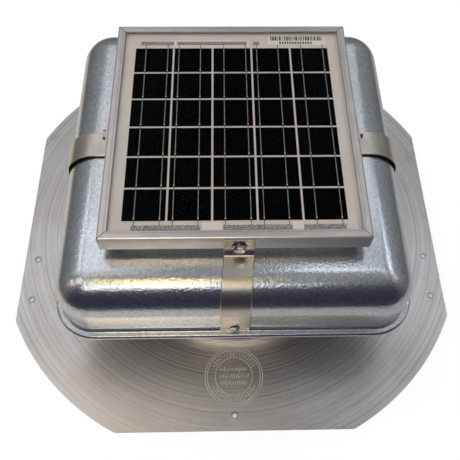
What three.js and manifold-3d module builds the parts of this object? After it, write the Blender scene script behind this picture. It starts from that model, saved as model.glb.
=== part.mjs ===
// Solar attic fan: a roof ventilator with its own solar panel on top.
// Millimetres, +Z up, front towards -Y. The origin is the centre of the flange's underside.
// A spun aluminium flashing carries the throat, a drawn hood stands over it on four brackets,
// and a brushless motor under a spider bracket turns a five-blade fan that blows upwards.

import * as THREE from "three";
import { mergeVertices } from "three/addons/utils/BufferGeometryUtils.js";
import Module from "manifold-3d";

const wasm = await Module();
wasm.setup();

// ---- driving dimensions ----

const gap = 0.3; // clearance between pieces that touch
const quarter = Math.PI / 2;
const facets = { large: 48, medium: 24, small: 12 }; // sides of round shapes
const through = 24; // length of a cut that has to pass right through a sheet

const flange = { across: 660, circle: 370, sheet: 1.2, nailRadius: 3, nailInset: 20 };
const nailRows = [68, 135]; // distance of the side nail holes in front of the centre
const nailDimple = { top: 4.2, base: 6, height: 0.8 }; // the raised sheet around each nail hole
const throat = { radius: 190, top: 165, flare: 20 };

const hood = {
  half: 227,
  corner: 46,
  edge: 47,
  top: 223,
  rimTop: 131,
  rimBottom: 127,
  rimWidth: 9.5,
  fillet: 4,
  sheet: 1,
  cornerSteps: 5,
  edgeSteps: 5,
};

const panel = { width: 325, depth: 340, height: 28, top: 266, back: 9, wall: 1.8, lip: 11, foot: 16 };
const glass = { thickness: 3.2, margin: 2.4 };
const ledge = { depth: 8, thickness: 1.5 };
const backsheet = { thickness: 0.7, margin: 2.4 };
const cell = { width: 52.25, depth: 43.75, space: 2.6, thickness: 0.3, columns: 5, rows: 6 };
const cellShift = -5.7; // the cell block sits in front of the panel's centre
const ribbon = { width: 1.5, thickness: 0.3, overhang: 7 };
const ribbonPlaces = [0.28, 0.87, 0.12, 0.7]; // two of the cell's width for even columns, two for odd

const strap = {
  width: 38,
  sheet: 1.6,
  top: 264,
  foot: 136,
  lift: 2.5,
  standOff: 0.5,
  shoulder: 44,
  bend: 3,
};
const strapBolt = { z: 248, shank: 3.9, washer: 9, washerSheet: 1.6, hex: 7.4, head: 5.2, length: 14 };
const strapScrew = { z: 145, shank: 2.3, washer: 6.2, washerSheet: 1, hex: 4.6, head: 3.6, length: 8 };
const nut = { hex: 7.4, height: 6 };
const frontSkew = 5; // the front strap is fastened slightly out of square

const hoodBracket = { width: 30, sheet: 1.5, top: 157, foot: 135, bend: 3 };
const screen = { inner: 189.4, mesh: 190.4, outer: 191.2, top: 220.2, rail: 6 };

const motorPlate = {
  radius: 50,
  bore: 14,
  bottom: 150,
  sheet: 2.5,
  armWidth: 24,
  reach: 188.6,
  tab: 20,
  bend: 3,
  leadHole: 5,
  screwHole: 2.6,
};
const motor = { radius: 42, height: 52, wall: 2, cap: 3, collar: 2, screwSpread: 30 };
const motorScrew = { shank: 2, head: 3.8, headHeight: 3 };
const bearing = { outer: 11, height: 6.3, seatWall: 2.7, seatDepth: 7 };
const shaft = { radius: 4, bottom: 58, top: 148, bore: 4.35 };
const stator = { outer: 39.3, inner: 26, bottom: 108, top: 136 };
const statorSlot = { count: 9, width: 6, start: 27, end: 36 };
const magnet = { outer: 24, bottom: 106, top: 138 };
const board = { radius: 38, hole: 8, bottom: 140, thickness: 1.6 };

const fan = {
  blades: 5,
  root: 48,
  tip: 177.5,
  plane: 78,
  sheet: 1.5,
  rootPitch: 27,
  tipPitch: 19,
  camber: 5,
};
const bladeChord = { root: 17, tip: 60 }; // half the chord
const hub = { radius: 13, bottom: 62, top: 88, armWidth: 22, armSheet: 2.5, armReach: 82, drop: 2.6 };
const setScrew = { radius: 2.2, z: 66, start: 4.7, length: 7.5 };

const junction = { width: 70, depth: 56, bottom: 244, top: 258.4, wall: 2, y: 100 };
const boxLid = { thickness: 1.8 };
const gland = { bore: 2.9, neck: 5.2, hex: 7.2, hexLength: 7.2, z: 251, outside: 12, inside: 5 };
const lead = { radius: 2.5, y: 24, bend: 22, end: 146, inBox: 9, sides: 8, steps: 18 };
const grommet = { bore: 2.9, groove: 6, flange: 9, flangeSheet: 1.6 };

// ---- materials ----

function metal(colour, roughness, metalness = 1) {
  return new THREE.MeshStandardMaterial({ color: colour, roughness, metalness });
}

const spunAluminium = metal(0xc4c2c0, 0.35);
const galvanised = metal(0x8d9499, 0.38);
const anodised = metal(0xb9b5b1, 0.3);
const zincPlate = metal(0xb3aa98, 0.32);
const boltSteel = metal(0x9a9da0, 0.25);
const bladeAluminium = metal(0xbfc2c4, 0.4);
const cellSilicon = metal(0x08080a, 0.25, 0.2);
const backsheetFilm = metal(0xaca49c, 0.6, 0);
const blackPlastic = metal(0x17181a, 0.5, 0);
const rubber = metal(0x111111, 0.8, 0);
const motorPaint = metal(0x2a2c2e, 0.45, 0.4);
const magnetSteel = metal(0x4a4a4c, 0.4);
const circuitGreen = metal(0x1f5a34, 0.5, 0);
const solarGlass = new THREE.MeshStandardMaterial({
  color: 0xe8eef0,
  roughness: 0.08,
  metalness: 0,
  transparent: true,
  opacity: 0.25,
});

// ---- geometry helpers ----

// A closed solid from a three.js geometry, with its faces turned outwards.
function solidOf(geometry) {
  const bare = new THREE.BufferGeometry();
  bare.setAttribute("position", geometry.getAttribute("position").clone());
  if (geometry.index) bare.setIndex(geometry.index.clone());
  const merged = mergeVertices(bare);
  const vertices = merged.getAttribute("position").array;
  const corner = (i) => new THREE.Vector3().fromArray(vertices, i * 3);
  const triangles = [];
  let volume = 0;
  for (let i = 0; i < merged.index.count; i += 3) {
    const [a, b, c] = [0, 1, 2].map((k) => merged.index.getX(i + k));
    if (a === b || b === c || c === a) continue;
    triangles.push([a, b, c]);
    volume += corner(a).dot(corner(b).cross(corner(c)));
  }
  const outward = volume > 0 ? triangles : triangles.map(([a, b, c]) => [a, c, b]);
  const mesh = new wasm.Mesh({
    numProp: 3,
    vertProperties: new Float32Array(vertices),
    triVerts: new Uint32Array(outward.flat()),
  });
  return new wasm.Manifold(mesh);
}

function geometryOf(solid) {
  const mesh = solid.getMesh();
  const geometry = new THREE.BufferGeometry();
  geometry.setAttribute("position", new THREE.BufferAttribute(mesh.vertProperties, 3));
  geometry.setIndex(new THREE.BufferAttribute(mesh.triVerts, 1));
  geometry.computeVertexNormals();
  return geometry;
}

// One piece from the first solid, with others joined to it and others cut from it.
function carve(first, { joined = [], cut = [] } = {}) {
  let solid = solidOf(first);
  for (const geometry of joined) solid = solid.add(solidOf(geometry));
  for (const geometry of cut) solid = solid.subtract(solidOf(geometry));
  return geometryOf(solid);
}

// A closed [radius, z] profile turned about the Z axis.
function revolve(profile, segments) {
  const loop = [...profile, profile[0]].map(([r, z]) => new THREE.Vector2(r, z));
  return new THREE.LatheGeometry(loop, segments).rotateX(quarter);
}

function ring(inner, outer, bottom, top, segments) {
  return revolve([[inner, bottom], [outer, bottom], [outer, top], [inner, top]], segments);
}

function block(width, depth, height, x, y, z) {
  return new THREE.BoxGeometry(width, depth, height).translate(x, y, z);
}

// Round bars along Z and along Y, centred on a point.
function barZ(radius, length, x, y, z, segments = facets.small) {
  return new THREE.CylinderGeometry(radius, radius, length, segments).rotateX(quarter).translate(x, y, z);
}

function barY(radius, length, x, y, z, segments = facets.small) {
  return new THREE.CylinderGeometry(radius, radius, length, segments).translate(x, y, z);
}

// Points of a round corner between two straight runs of a bent strip's centre line.
function bendPoints(before, corner, after, radius, steps) {
  const into = corner.clone().sub(before).normalize();
  const out = after.clone().sub(corner).normalize();
  const turn = Math.atan2(into.cross(out), into.dot(out));
  const reach = radius * Math.tan(Math.abs(turn) / 2);
  const start = corner.clone().addScaledVector(into, -reach);
  const side = new THREE.Vector2(-into.y, into.x).multiplyScalar(Math.sign(turn));
  const centre = start.clone().addScaledVector(side, radius);
  const spoke = start.clone().sub(centre);
  const points = [];
  for (let i = 0; i <= steps; i++) {
    const angle = (turn * i) / steps;
    const place = spoke.clone().rotateAround(new THREE.Vector2(), angle).add(centre);
    points.push({ place, heading: into.clone().rotateAround(new THREE.Vector2(), angle) });
  }
  return points;
}

// The outline of bent sheet metal: corners of its centre line, and a radius for each inner corner.
function bentOutline(corners, radii, sheet, steps = 6) {
  const line = corners.map(([u, v]) => new THREE.Vector2(u, v));
  const last = line.length - 1;
  const headingOf = (i) => line[i + 1].clone().sub(line[i]).normalize();
  const points = [{ place: line[0], heading: headingOf(0) }];
  for (let i = 1; i < last; i++) {
    points.push(...bendPoints(line[i - 1], line[i], line[i + 1], radii[i - 1], steps));
  }
  points.push({ place: line[last], heading: headingOf(last - 1) });
  const offset = ({ place, heading }, by) =>
    new THREE.Vector2(-heading.y, heading.x).multiplyScalar(by).add(place);
  const left = points.map((point) => offset(point, sheet / 2));
  const right = points.map((point) => offset(point, -sheet / 2)).reverse();
  return new THREE.Shape([...left, ...right]);
}

// A bent strip at the front: outline axes are outwards (-Y) and up, and the width runs along X.
function frontStrip(outline, width) {
  const frame = new THREE.Matrix4().makeBasis(
    new THREE.Vector3(0, -1, 0),
    new THREE.Vector3(0, 0, 1),
    new THREE.Vector3(-1, 0, 0),
  );
  const strip = new THREE.ExtrudeGeometry(outline, { depth: width, bevelEnabled: false });
  return strip.translate(0, 0, -width / 2).applyMatrix4(frame);
}

// ---- assembly ----

const assembly = new THREE.Group();

function place(name, geometry, material, parent = assembly) {
  const mesh = new THREE.Mesh(geometry, material);
  mesh.name = name;
  parent.add(mesh);
  return mesh;
}

// The four sides of the hood: how far each is turned from the front, how far out the panel's frame
// stands there, how far along the side the panel's centre lies, and the strap's skew.
const sides = [
  { name: "front", turn: 0, skew: frontSkew },
  { name: "right", turn: quarter, skew: 0 },
  { name: "back", turn: 2 * quarter, skew: 0 },
  { name: "left", turn: 3 * quarter, skew: 0 },
].map((side) => {
  const along = Math.abs(Math.round(Math.sin(side.turn)));
  const halfDepth = along ? panel.width / 2 : panel.depth / 2;
  return {
    ...side,
    length: along ? panel.depth : panel.width,
    halfDepth,
    frameFace: halfDepth - panel.back * Math.round(Math.cos(side.turn)),
    shift: panel.back * Math.round(Math.sin(side.turn)),
  };
});

function sideGroup(side) {
  const group = new THREE.Group();
  group.rotation.z = side.turn;
  assembly.add(group);
  return group;
}

// ---- flashing, hood and screen ----

// Spun sheet: a flat disc that flares up into the throat, trimmed to four straight sides.
function baseFlashing() {
  const flareSteps = 4;
  const outer = throat.radius + flange.sheet;
  const flareCentre = outer + throat.flare;
  const flare = (radius) =>
    Array.from({ length: flareSteps + 1 }, (_, i) => {
      const angle = (quarter * i) / flareSteps;
      const height = flange.sheet + throat.flare - radius * Math.cos(angle);
      return [flareCentre - radius * Math.sin(angle), height];
    });
  const profile = [
    [flange.circle, 0],
    [flange.circle, flange.sheet],
    ...flare(throat.flare),
    [outer, throat.top],
    [throat.radius, throat.top],
    ...flare(throat.flare + flange.sheet).reverse(),
  ];
  const nails = [[0, -(flange.across / 2 - flange.nailInset)]];
  for (const row of nailRows) {
    for (const side of [-1, 1]) nails.push([side * (flange.across / 2 - flange.nailInset), -row]);
  }
  const dimple = ([x, y]) =>
    new THREE.CylinderGeometry(nailDimple.top, nailDimple.base, 2 * nailDimple.height, facets.small)
      .rotateX(quarter)
      .translate(x, y, flange.sheet);
  const disc = solidOf(revolve(profile, facets.large));
  const trim = solidOf(block(flange.across, flange.across, 3 * throat.top, 0, 0, 0));
  let solid = disc.intersect(trim);
  for (const nail of nails) solid = solid.add(solidOf(dimple(nail)));
  for (const [x, y] of nails) solid = solid.subtract(solidOf(barZ(flange.nailRadius, through, x, y, 0)));
  return geometryOf(solid);
}

// One level of the hood: a square with round corners, drawn in by `inset` from the wall.
function hoodLevel(inset, z) {
  const half = hood.half - inset;
  const radius = Math.max(hood.corner - inset, 0.5);
  const points = [];
  for (let side = 0; side < 4; side++) {
    for (let i = 0; i <= hood.cornerSteps; i++) {
      const angle = quarter * (side + i / hood.cornerSteps);
      const centre = new THREE.Vector2(half - radius, half - radius);
      centre.rotateAround(new THREE.Vector2(), quarter * side);
      points.push([centre.x + radius * Math.cos(angle), centre.y + radius * Math.sin(angle), z]);
    }
  }
  return points;
}

// Levels of one face of the hood's sheet, from the top's edge down to the rim; `deep` is how far
// the face lies inside the outer face.
function hoodFace(deep) {
  const levels = [];
  for (let i = 0; i <= hood.edgeSteps; i++) {
    const angle = (quarter * i) / hood.edgeSteps;
    const radius = hood.edge - deep;
    levels.push([hood.edge - radius * Math.sin(angle), hood.top - hood.edge + radius * Math.cos(angle)]);
  }
  const filletSteps = 2;
  for (let i = 0; i <= filletSteps; i++) {
    const angle = (quarter * i) / filletSteps;
    const radius = hood.fillet + deep;
    levels.push([
      -hood.fillet + radius * Math.cos(angle),
      hood.rimTop + hood.fillet - radius * Math.sin(angle),
    ]);
  }
  return levels;
}

// The rim: the lip runs out flat and its edge rolls down.
function hoodRim() {
  const roll = hood.rimTop - hood.rimBottom;
  const steps = 2;
  const outer = [];
  for (let i = 0; i <= steps; i++) {
    const angle = (quarter * i) / steps;
    outer.push([-hood.rimWidth + roll - roll * Math.sin(angle), hood.rimBottom + roll * Math.cos(angle)]);
  }
  const inside = hood.sheet - hood.rimWidth;
  return [...outer, [inside, hood.rimBottom], [inside, hood.rimTop - hood.sheet]];
}

function hoodShell() {
  const levels = [...hoodFace(0), ...hoodRim(), ...hoodFace(hood.sheet).reverse()];
  const rings = levels.map(([inset, z]) => hoodLevel(inset, z));
  const count = rings[0].length;
  const positions = rings.flat(2);
  positions.push(0, 0, hood.top, 0, 0, hood.top - hood.sheet);
  const topCentre = rings.length * count;
  const index = [];
  for (let i = 0; i < count; i++) {
    const next = (i + 1) % count;
    index.push(topCentre, i, next);
    const inner = (rings.length - 1) * count;
    index.push(topCentre + 1, inner + next, inner + i);
    for (let level = 0; level + 1 < rings.length; level++) {
      const [a, b] = [level * count, (level + 1) * count];
      index.push(a + i, b + i, b + next, a + i, b + next, a + next);
    }
  }
  const shell = new THREE.BufferGeometry();
  shell.setAttribute("position", new THREE.Float32BufferAttribute(positions, 3));
  shell.setIndex(index);
  const holes = [barZ(grommet.groove + gap, through, 0, lead.y, hood.top)];
  for (const side of sides) {
    const hole = barY(strapScrew.shank + gap, through, 0, -hood.half, strapScrew.z);
    holes.push(hole.rotateZ(side.turn));
  }
  return carve(shell, { cut: holes });
}

// The band of insect mesh between the throat and the hood, with a rail along each edge.
function insectScreen() {
  const bottom = throat.top + gap;
  const profile = [
    [screen.inner, bottom],
    [screen.outer, bottom],
    [screen.outer, bottom + screen.rail],
    [screen.mesh, bottom + screen.rail],
    [screen.mesh, screen.top - screen.rail],
    [screen.outer, screen.top - screen.rail],
    [screen.outer, screen.top],
    [screen.inner, screen.top],
  ];
  return geometryOf(solidOf(revolve(profile, facets.large)));
}

place("base_flashing", baseFlashing(), spunAluminium);
place("hood", hoodShell(), galvanised);
place("insect_screen", insectScreen(), galvanised);

// An inverted U between the throat and the hood's wall.
function hoodBracketGeometry() {
  const inner = throat.radius + flange.sheet + 2 * gap + hoodBracket.sheet / 2;
  const outer = hood.half - hood.sheet - gap - hoodBracket.sheet / 2;
  const corners = [
    [inner, hoodBracket.foot],
    [inner, hoodBracket.top],
    [outer, hoodBracket.top],
    [outer, hoodBracket.foot],
  ];
  const outline = bentOutline(corners, [hoodBracket.bend, hoodBracket.bend], hoodBracket.sheet, 2);
  const hole = barY(strapScrew.shank + gap, through, 0, -outer, strapScrew.z);
  return carve(frontStrip(outline, hoodBracket.width), { cut: [hole] });
}

for (const side of sides) {
  place(`hood_bracket_${side.name}`, hoodBracketGeometry(), galvanised, sideGroup(side));
}

// ---- panel ----

const panelGroup = new THREE.Group();
panelGroup.position.set(0, panel.back, 0);
assembly.add(panelGroup);

const lipUnder = panel.top - panel.wall;
const glassTop = lipUnder - gap;
const glassBottom = glassTop - glass.thickness;
const cellTop = glassBottom - gap - ribbon.thickness;
const backsheetTop = cellTop - cell.thickness - gap;
const ledgeTop = backsheetTop - backsheet.thickness - gap;
const frameBottom = panel.top - panel.height;

// Mitred channel: a wall with a lip over the glass, a ledge under it and a foot.
function frameBar(side) {
  const chamfer = 0.7;
  const outline = new THREE.Shape(
    [
      [0, frameBottom],
      [panel.foot, frameBottom],
      [panel.foot, frameBottom + panel.wall],
      [panel.wall, frameBottom + panel.wall],
      [panel.wall, ledgeTop - ledge.thickness],
      [ledge.depth, ledgeTop - ledge.thickness],
      [ledge.depth, ledgeTop],
      [panel.wall, ledgeTop],
      [panel.wall, lipUnder],
      [panel.lip, lipUnder],
      [panel.lip, panel.top],
      [chamfer, panel.top],
      [0, panel.top - chamfer],
    ].map(([u, z]) => new THREE.Vector2(u, z)),
  );
  const bar = new THREE.ExtrudeGeometry(outline, { depth: side.length, bevelEnabled: false });
  const frame = new THREE.Matrix4().makeBasis(
    new THREE.Vector3(0, 1, 0),
    new THREE.Vector3(0, 0, 1),
    new THREE.Vector3(1, 0, 0),
  );
  bar.translate(0, 0, -side.length / 2).applyMatrix4(frame);
  const points = bar.getAttribute("position");
  for (let i = 0; i < points.count; i++) {
    points.setX(i, Math.sign(points.getX(i)) * (side.length / 2 - points.getY(i) - gap));
  }
  bar.translate(0, -side.halfDepth, 0);
  const hole = barY(strapBolt.shank + gap, through, side.skew - side.shift, -side.halfDepth, strapBolt.z);
  return carve(bar, { cut: [hole] });
}

for (const side of sides) {
  place(`panel_frame_${side.name}`, frameBar(side), anodised, panelGroup).rotation.z = side.turn;
}

function panelSheet(thickness, bottom, margin) {
  const width = panel.width - 2 * margin;
  const depth = panel.depth - 2 * margin;
  return block(width, depth, thickness, 0, 0, bottom + thickness / 2);
}

// One column of cells, joined by the two ribbons that run over them.
function cellString(column) {
  const pitch = cell.depth + cell.space;
  const length = cell.rows * pitch - cell.space;
  const middle = cellTop - cell.thickness / 2;
  const places = column % 2 ? ribbonPlaces.slice(2) : ribbonPlaces.slice(0, 2);
  const overlap = 0.1;
  const ribbons = places.map((at) =>
    block(
      ribbon.width,
      length + 2 * ribbon.overhang,
      ribbon.thickness + overlap,
      (at - 0.5) * cell.width,
      cellShift,
      cellTop + (ribbon.thickness - overlap) / 2,
    ),
  );
  const cells = [];
  for (let row = 0; row < cell.rows; row++) {
    const y = cellShift + (row - (cell.rows - 1) / 2) * pitch;
    cells.push(block(cell.width, cell.depth, cell.thickness, 0, y, middle));
  }
  return carve(cells[0], { joined: [...ribbons, ...cells.slice(1)] });
}

place("panel_glass", panelSheet(glass.thickness, glassBottom, glass.margin), solarGlass, panelGroup);
place(
  "panel_backsheet",
  panelSheet(backsheet.thickness, backsheetTop - backsheet.thickness, backsheet.margin),
  backsheetFilm,
  panelGroup,
);
for (let column = 0; column < cell.columns; column++) {
  const string = place(`cell_string_${column + 1}`, cellString(column), cellSilicon, panelGroup);
  string.position.x = (column - (cell.columns - 1) / 2) * (cell.width + cell.space);
}

// ---- straps and their fasteners ----

const strapIn = (side) => side.frameFace + gap + strap.sheet / 2;
const strapOut = hood.half + strap.standOff + strap.sheet / 2;
const sink = 0.2; // how far one solid of a fastener reaches into the next

// Bolted to the frame, bent out over the hood's top and down its wall.
function panelStrap(side) {
  const run = hood.top + strap.lift + strap.sheet / 2;
  const corners = [
    [strapIn(side), strap.top],
    [strapIn(side), run],
    [strapOut, run],
    [strapOut, strap.foot],
  ];
  const outline = bentOutline(corners, [strap.bend, strap.shoulder], strap.sheet);
  const holes = [
    barY(strapBolt.shank + gap, through, 0, -strapIn(side), strapBolt.z),
    barY(strapScrew.shank + gap, through, 0, -strapOut, strapScrew.z),
  ];
  const geometry = carve(frontStrip(outline, strap.width), { cut: holes });
  const points = geometry.getAttribute("position");
  for (let i = 0; i < points.count; i++) {
    const inwards = (strapOut + points.getY(i)) / (strapOut - strapIn(side));
    points.setX(i, points.getX(i) + side.skew * THREE.MathUtils.clamp(inwards, 0, 1));
  }
  geometry.computeVertexNormals();
  return geometry;
}

// A hexagonal head on a round washer; the shank runs along +Y from the washer's underside at Y = 0.
function flangeBolt(size) {
  const washer = barY(size.washer, size.washerSheet, 0, -size.washerSheet / 2, 0);
  const headLength = size.head + sink;
  const head = barY(size.hex, headLength, 0, -size.washerSheet - headLength / 2 + sink, 0, 6);
  const shankLength = size.length + sink;
  const shank = barY(size.shank, shankLength, 0, shankLength / 2 - sink, 0);
  return carve(washer, { joined: [head, shank] });
}

function hexNut() {
  return carve(barY(nut.hex, nut.height, 0, nut.height / 2, 0, 6), {
    cut: [barY(strapBolt.shank + gap, through, 0, 0, 0)],
  });
}

for (const side of sides) {
  const group = sideGroup(side);
  place(`panel_strap_${side.name}`, panelStrap(side), zincPlate, group);
  const bolt = place(`panel_bolt_${side.name}`, flangeBolt(strapBolt), boltSteel, group);
  bolt.position.set(side.skew, -(strapIn(side) + strap.sheet / 2 + gap), strapBolt.z);
  const fixed = place(`panel_nut_${side.name}`, hexNut(), boltSteel, group);
  fixed.position.set(side.skew, -(side.frameFace - panel.wall - gap), strapBolt.z);
  const screw = place(`strap_screw_${side.name}`, flangeBolt(strapScrew), boltSteel, group);
  screw.position.set(0, -(strapOut + strap.sheet / 2 + gap), strapScrew.z);
}

// ---- junction box and lead ----

const boxFront = junction.y - junction.depth / 2;

function junctionBox() {
  const height = junction.top - junction.bottom;
  const middle = (junction.top + junction.bottom) / 2;
  const outside = block(junction.width, junction.depth, height, 0, junction.y, middle);
  const [roomWidth, roomDepth] = [junction.width - 2 * junction.wall, junction.depth - 2 * junction.wall];
  const inside = block(roomWidth, roomDepth, height, 0, junction.y, middle - junction.wall);
  return carve(outside, { cut: [inside, barY(gland.neck + gap, through, 0, boxFront, gland.z)] });
}

function cableGland() {
  const neck = barY(gland.neck, gland.inside + gland.outside, 0, (gland.inside - gland.outside) / 2, 0);
  const hex = barY(gland.hex, gland.hexLength, 0, -gap - gland.hexLength / 2, 0, 6);
  const bore = barY(gland.bore, 4 * gland.outside, 0, 0, 0);
  return carve(neck, { joined: [hex], cut: [bore] });
}

// The lead leaves the gland, turns down through the hood's grommet and ends inside the motor.
function motorLead() {
  const corner = new THREE.Vector3(0, lead.y, gland.z);
  const route = new THREE.CurvePath();
  const bendStart = new THREE.Vector3(0, lead.y + lead.bend, gland.z);
  const bendEnd = new THREE.Vector3(0, lead.y, gland.z - lead.bend);
  route.add(new THREE.LineCurve3(new THREE.Vector3(0, boxFront + lead.inBox, gland.z), bendStart));
  route.add(new THREE.QuadraticBezierCurve3(bendStart, corner, bendEnd));
  route.add(new THREE.LineCurve3(bendEnd, new THREE.Vector3(0, lead.y, lead.end)));
  const section = new THREE.Shape(
    Array.from({ length: lead.sides }, (_, i) => {
      const angle = (2 * Math.PI * i) / lead.sides;
      return new THREE.Vector2(lead.radius * Math.cos(angle), lead.radius * Math.sin(angle));
    }),
  );
  return new THREE.ExtrudeGeometry(section, { steps: lead.steps, extrudePath: route, bevelEnabled: false });
}

function wireGrommet() {
  const half = hood.sheet / 2 + gap;
  const middle = hood.top - hood.sheet / 2;
  const outer = half + grommet.flangeSheet;
  const profile = [
    [grommet.bore, -outer],
    [grommet.flange, -outer],
    [grommet.flange, -half],
    [grommet.groove, -half],
    [grommet.groove, half],
    [grommet.flange, half],
    [grommet.flange, outer],
    [grommet.bore, outer],
  ];
  return revolve(profile, facets.medium).translate(0, lead.y, middle);
}

place("junction_box", junctionBox(), blackPlastic);
const lidTop = junction.bottom - gap;
place(
  "junction_box_lid",
  block(junction.width, junction.depth, boxLid.thickness, 0, junction.y, lidTop - boxLid.thickness / 2),
  blackPlastic,
);
place("cable_gland", cableGland(), blackPlastic).position.set(0, boxFront, gland.z);
place("motor_lead", geometryOf(solidOf(motorLead())), rubber);
place("grommet", wireGrommet(), rubber);

// ---- motor and its bracket ----

const leadHole = (radius, length, z) => barZ(radius, length, 0, lead.y, z);
const screwHoles = (radius, length, z) =>
  [-1, 1].map((side) => barZ(radius, length, side * motor.screwSpread, 0, z));

// A round plate with four arms that turn down against the throat's wall.
function motorBracket() {
  const middle = motorPlate.bottom + motorPlate.sheet / 2;
  const tabLine = motorPlate.reach - motorPlate.sheet / 2;
  const corners = [
    [motorPlate.radius / 2, middle],
    [tabLine, middle],
    [tabLine, middle - motorPlate.tab],
  ];
  const outline = bentOutline(corners, [motorPlate.bend], motorPlate.sheet, 2);
  const arms = sides.map((side) => frontStrip(outline, motorPlate.armWidth).rotateZ(side.turn));
  const top = motorPlate.bottom + motorPlate.sheet;
  const plate = ring(motorPlate.bore, motorPlate.radius, motorPlate.bottom, top, facets.medium);
  const holes = [
    leadHole(motorPlate.leadHole, through, middle),
    ...screwHoles(motorPlate.screwHole, through, middle),
  ];
  return carve(plate, { joined: arms, cut: holes });
}

const canTop = motorPlate.bottom - gap;
const canBottom = canTop - motor.height;
const seatInner = bearing.outer + gap;
const seatOuter = seatInner + bearing.seatWall;

function motorCan() {
  const profile = [
    [motor.radius, canBottom],
    [motor.radius, canTop],
    [seatInner, canTop],
    [seatInner, canTop - bearing.seatDepth],
    [seatOuter, canTop - bearing.seatDepth],
    [seatOuter, canTop - motor.cap],
    [motor.radius - motor.wall, canTop - motor.cap],
    [motor.radius - motor.wall, canBottom],
  ];
  const depth = 4 * motor.cap;
  const holes = [
    leadHole(lead.radius + 2 * gap, depth, canTop),
    ...screwHoles(motorScrew.shank + gap, depth, canTop),
  ];
  return carve(revolve(profile, facets.medium), { cut: holes });
}

function motorEndCap() {
  const top = canBottom - gap;
  const bottom = top - motor.cap;
  const shaftHole = shaft.radius + 1;
  const collar = seatOuter + motor.collar;
  const profile = [
    [shaftHole, bottom - motor.collar],
    [collar, bottom - motor.collar],
    [collar, bottom],
    [motor.radius, bottom],
    [motor.radius, top],
    [seatOuter, top],
    [seatOuter, bottom + bearing.seatDepth],
    [seatInner, bottom + bearing.seatDepth],
    [seatInner, bottom],
    [shaftHole, bottom],
  ];
  return revolve(profile, facets.medium);
}

function motorStator() {
  const height = stator.top - stator.bottom;
  const middle = (stator.top + stator.bottom) / 2;
  const slotMiddle = -(statorSlot.start + statorSlot.end) / 2;
  const slotDepth = statorSlot.end - statorSlot.start;
  const slots = [];
  for (let i = 0; i < statorSlot.count; i++) {
    const slot = block(statorSlot.width, slotDepth, 2 * height, 0, slotMiddle, middle);
    slots.push(slot.rotateZ((2 * Math.PI * i) / statorSlot.count));
  }
  return carve(ring(stator.inner, stator.outer, stator.bottom, stator.top, facets.medium), { cut: slots });
}

function motorScrewSolid() {
  const head = barZ(motorScrew.head, motorScrew.headHeight, 0, 0, motorScrew.headHeight / 2);
  const length = motorPlate.sheet + gap + motor.cap;
  return carve(head, { joined: [barZ(motorScrew.shank, length, 0, 0, sink - length / 2)] });
}

place("motor_bracket", motorBracket(), galvanised);
place("motor_can", motorCan(), motorPaint);
place("motor_end_cap", motorEndCap(), motorPaint);
place("stator", motorStator(), magnetSteel);
place(
  "controller_board",
  ring(board.hole, board.radius, board.bottom, board.bottom + board.thickness, facets.medium),
  circuitGreen,
);
const bearingRing = () => ring(shaft.bore, bearing.outer, 0, bearing.height, facets.medium);
place("rear_bearing", bearingRing(), boltSteel).position.z = canTop - bearing.height - gap;
place("front_bearing", bearingRing(), boltSteel).position.z = canBottom - motor.cap;
for (const [number, side] of [-1, 1].entries()) {
  const screw = place(`motor_screw_${number + 1}`, motorScrewSolid(), boltSteel);
  screw.position.set(side * motor.screwSpread, 0, motorPlate.bottom + motorPlate.sheet + gap);
}

// ---- rotor ----

const shaftLength = shaft.top - shaft.bottom;
const shaftMiddle = shaft.bottom + shaftLength / 2;
place("motor_shaft", barZ(shaft.radius, shaftLength, 0, 0, shaftMiddle, facets.medium), boltSteel);
place("rotor_magnet", ring(shaft.bore, magnet.outer, magnet.bottom, magnet.top, facets.medium), magnetSteel);

const bladeAngle = (number) => (2 * Math.PI * number) / fan.blades;

// The boss on the shaft, with one sloping arm under each blade.
function fanHub() {
  const boss = ring(shaft.bore, hub.radius, hub.bottom, hub.top, facets.medium);
  const inside = hub.radius - sink;
  const reach = hub.armReach - inside;
  const arms = [];
  for (let number = 0; number < fan.blades; number++) {
    const arm = block(reach, hub.armWidth, hub.armSheet, inside + reach / 2, 0, -hub.drop);
    arm.rotateX(THREE.MathUtils.degToRad(-fan.rootPitch)).translate(0, 0, fan.plane);
    arms.push(arm.rotateZ(bladeAngle(number)));
  }
  const between = bladeAngle(0.5);
  const screwHole = barY(setScrew.radius + gap, through, 0, -hub.radius, setScrew.z);
  screwHole.rotateZ(quarter + between);
  const bore = barZ(shaft.bore, 3 * hub.top, 0, 0, 0, facets.medium);
  return carve(boss, { joined: arms, cut: [screwHole, bore] });
}

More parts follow.
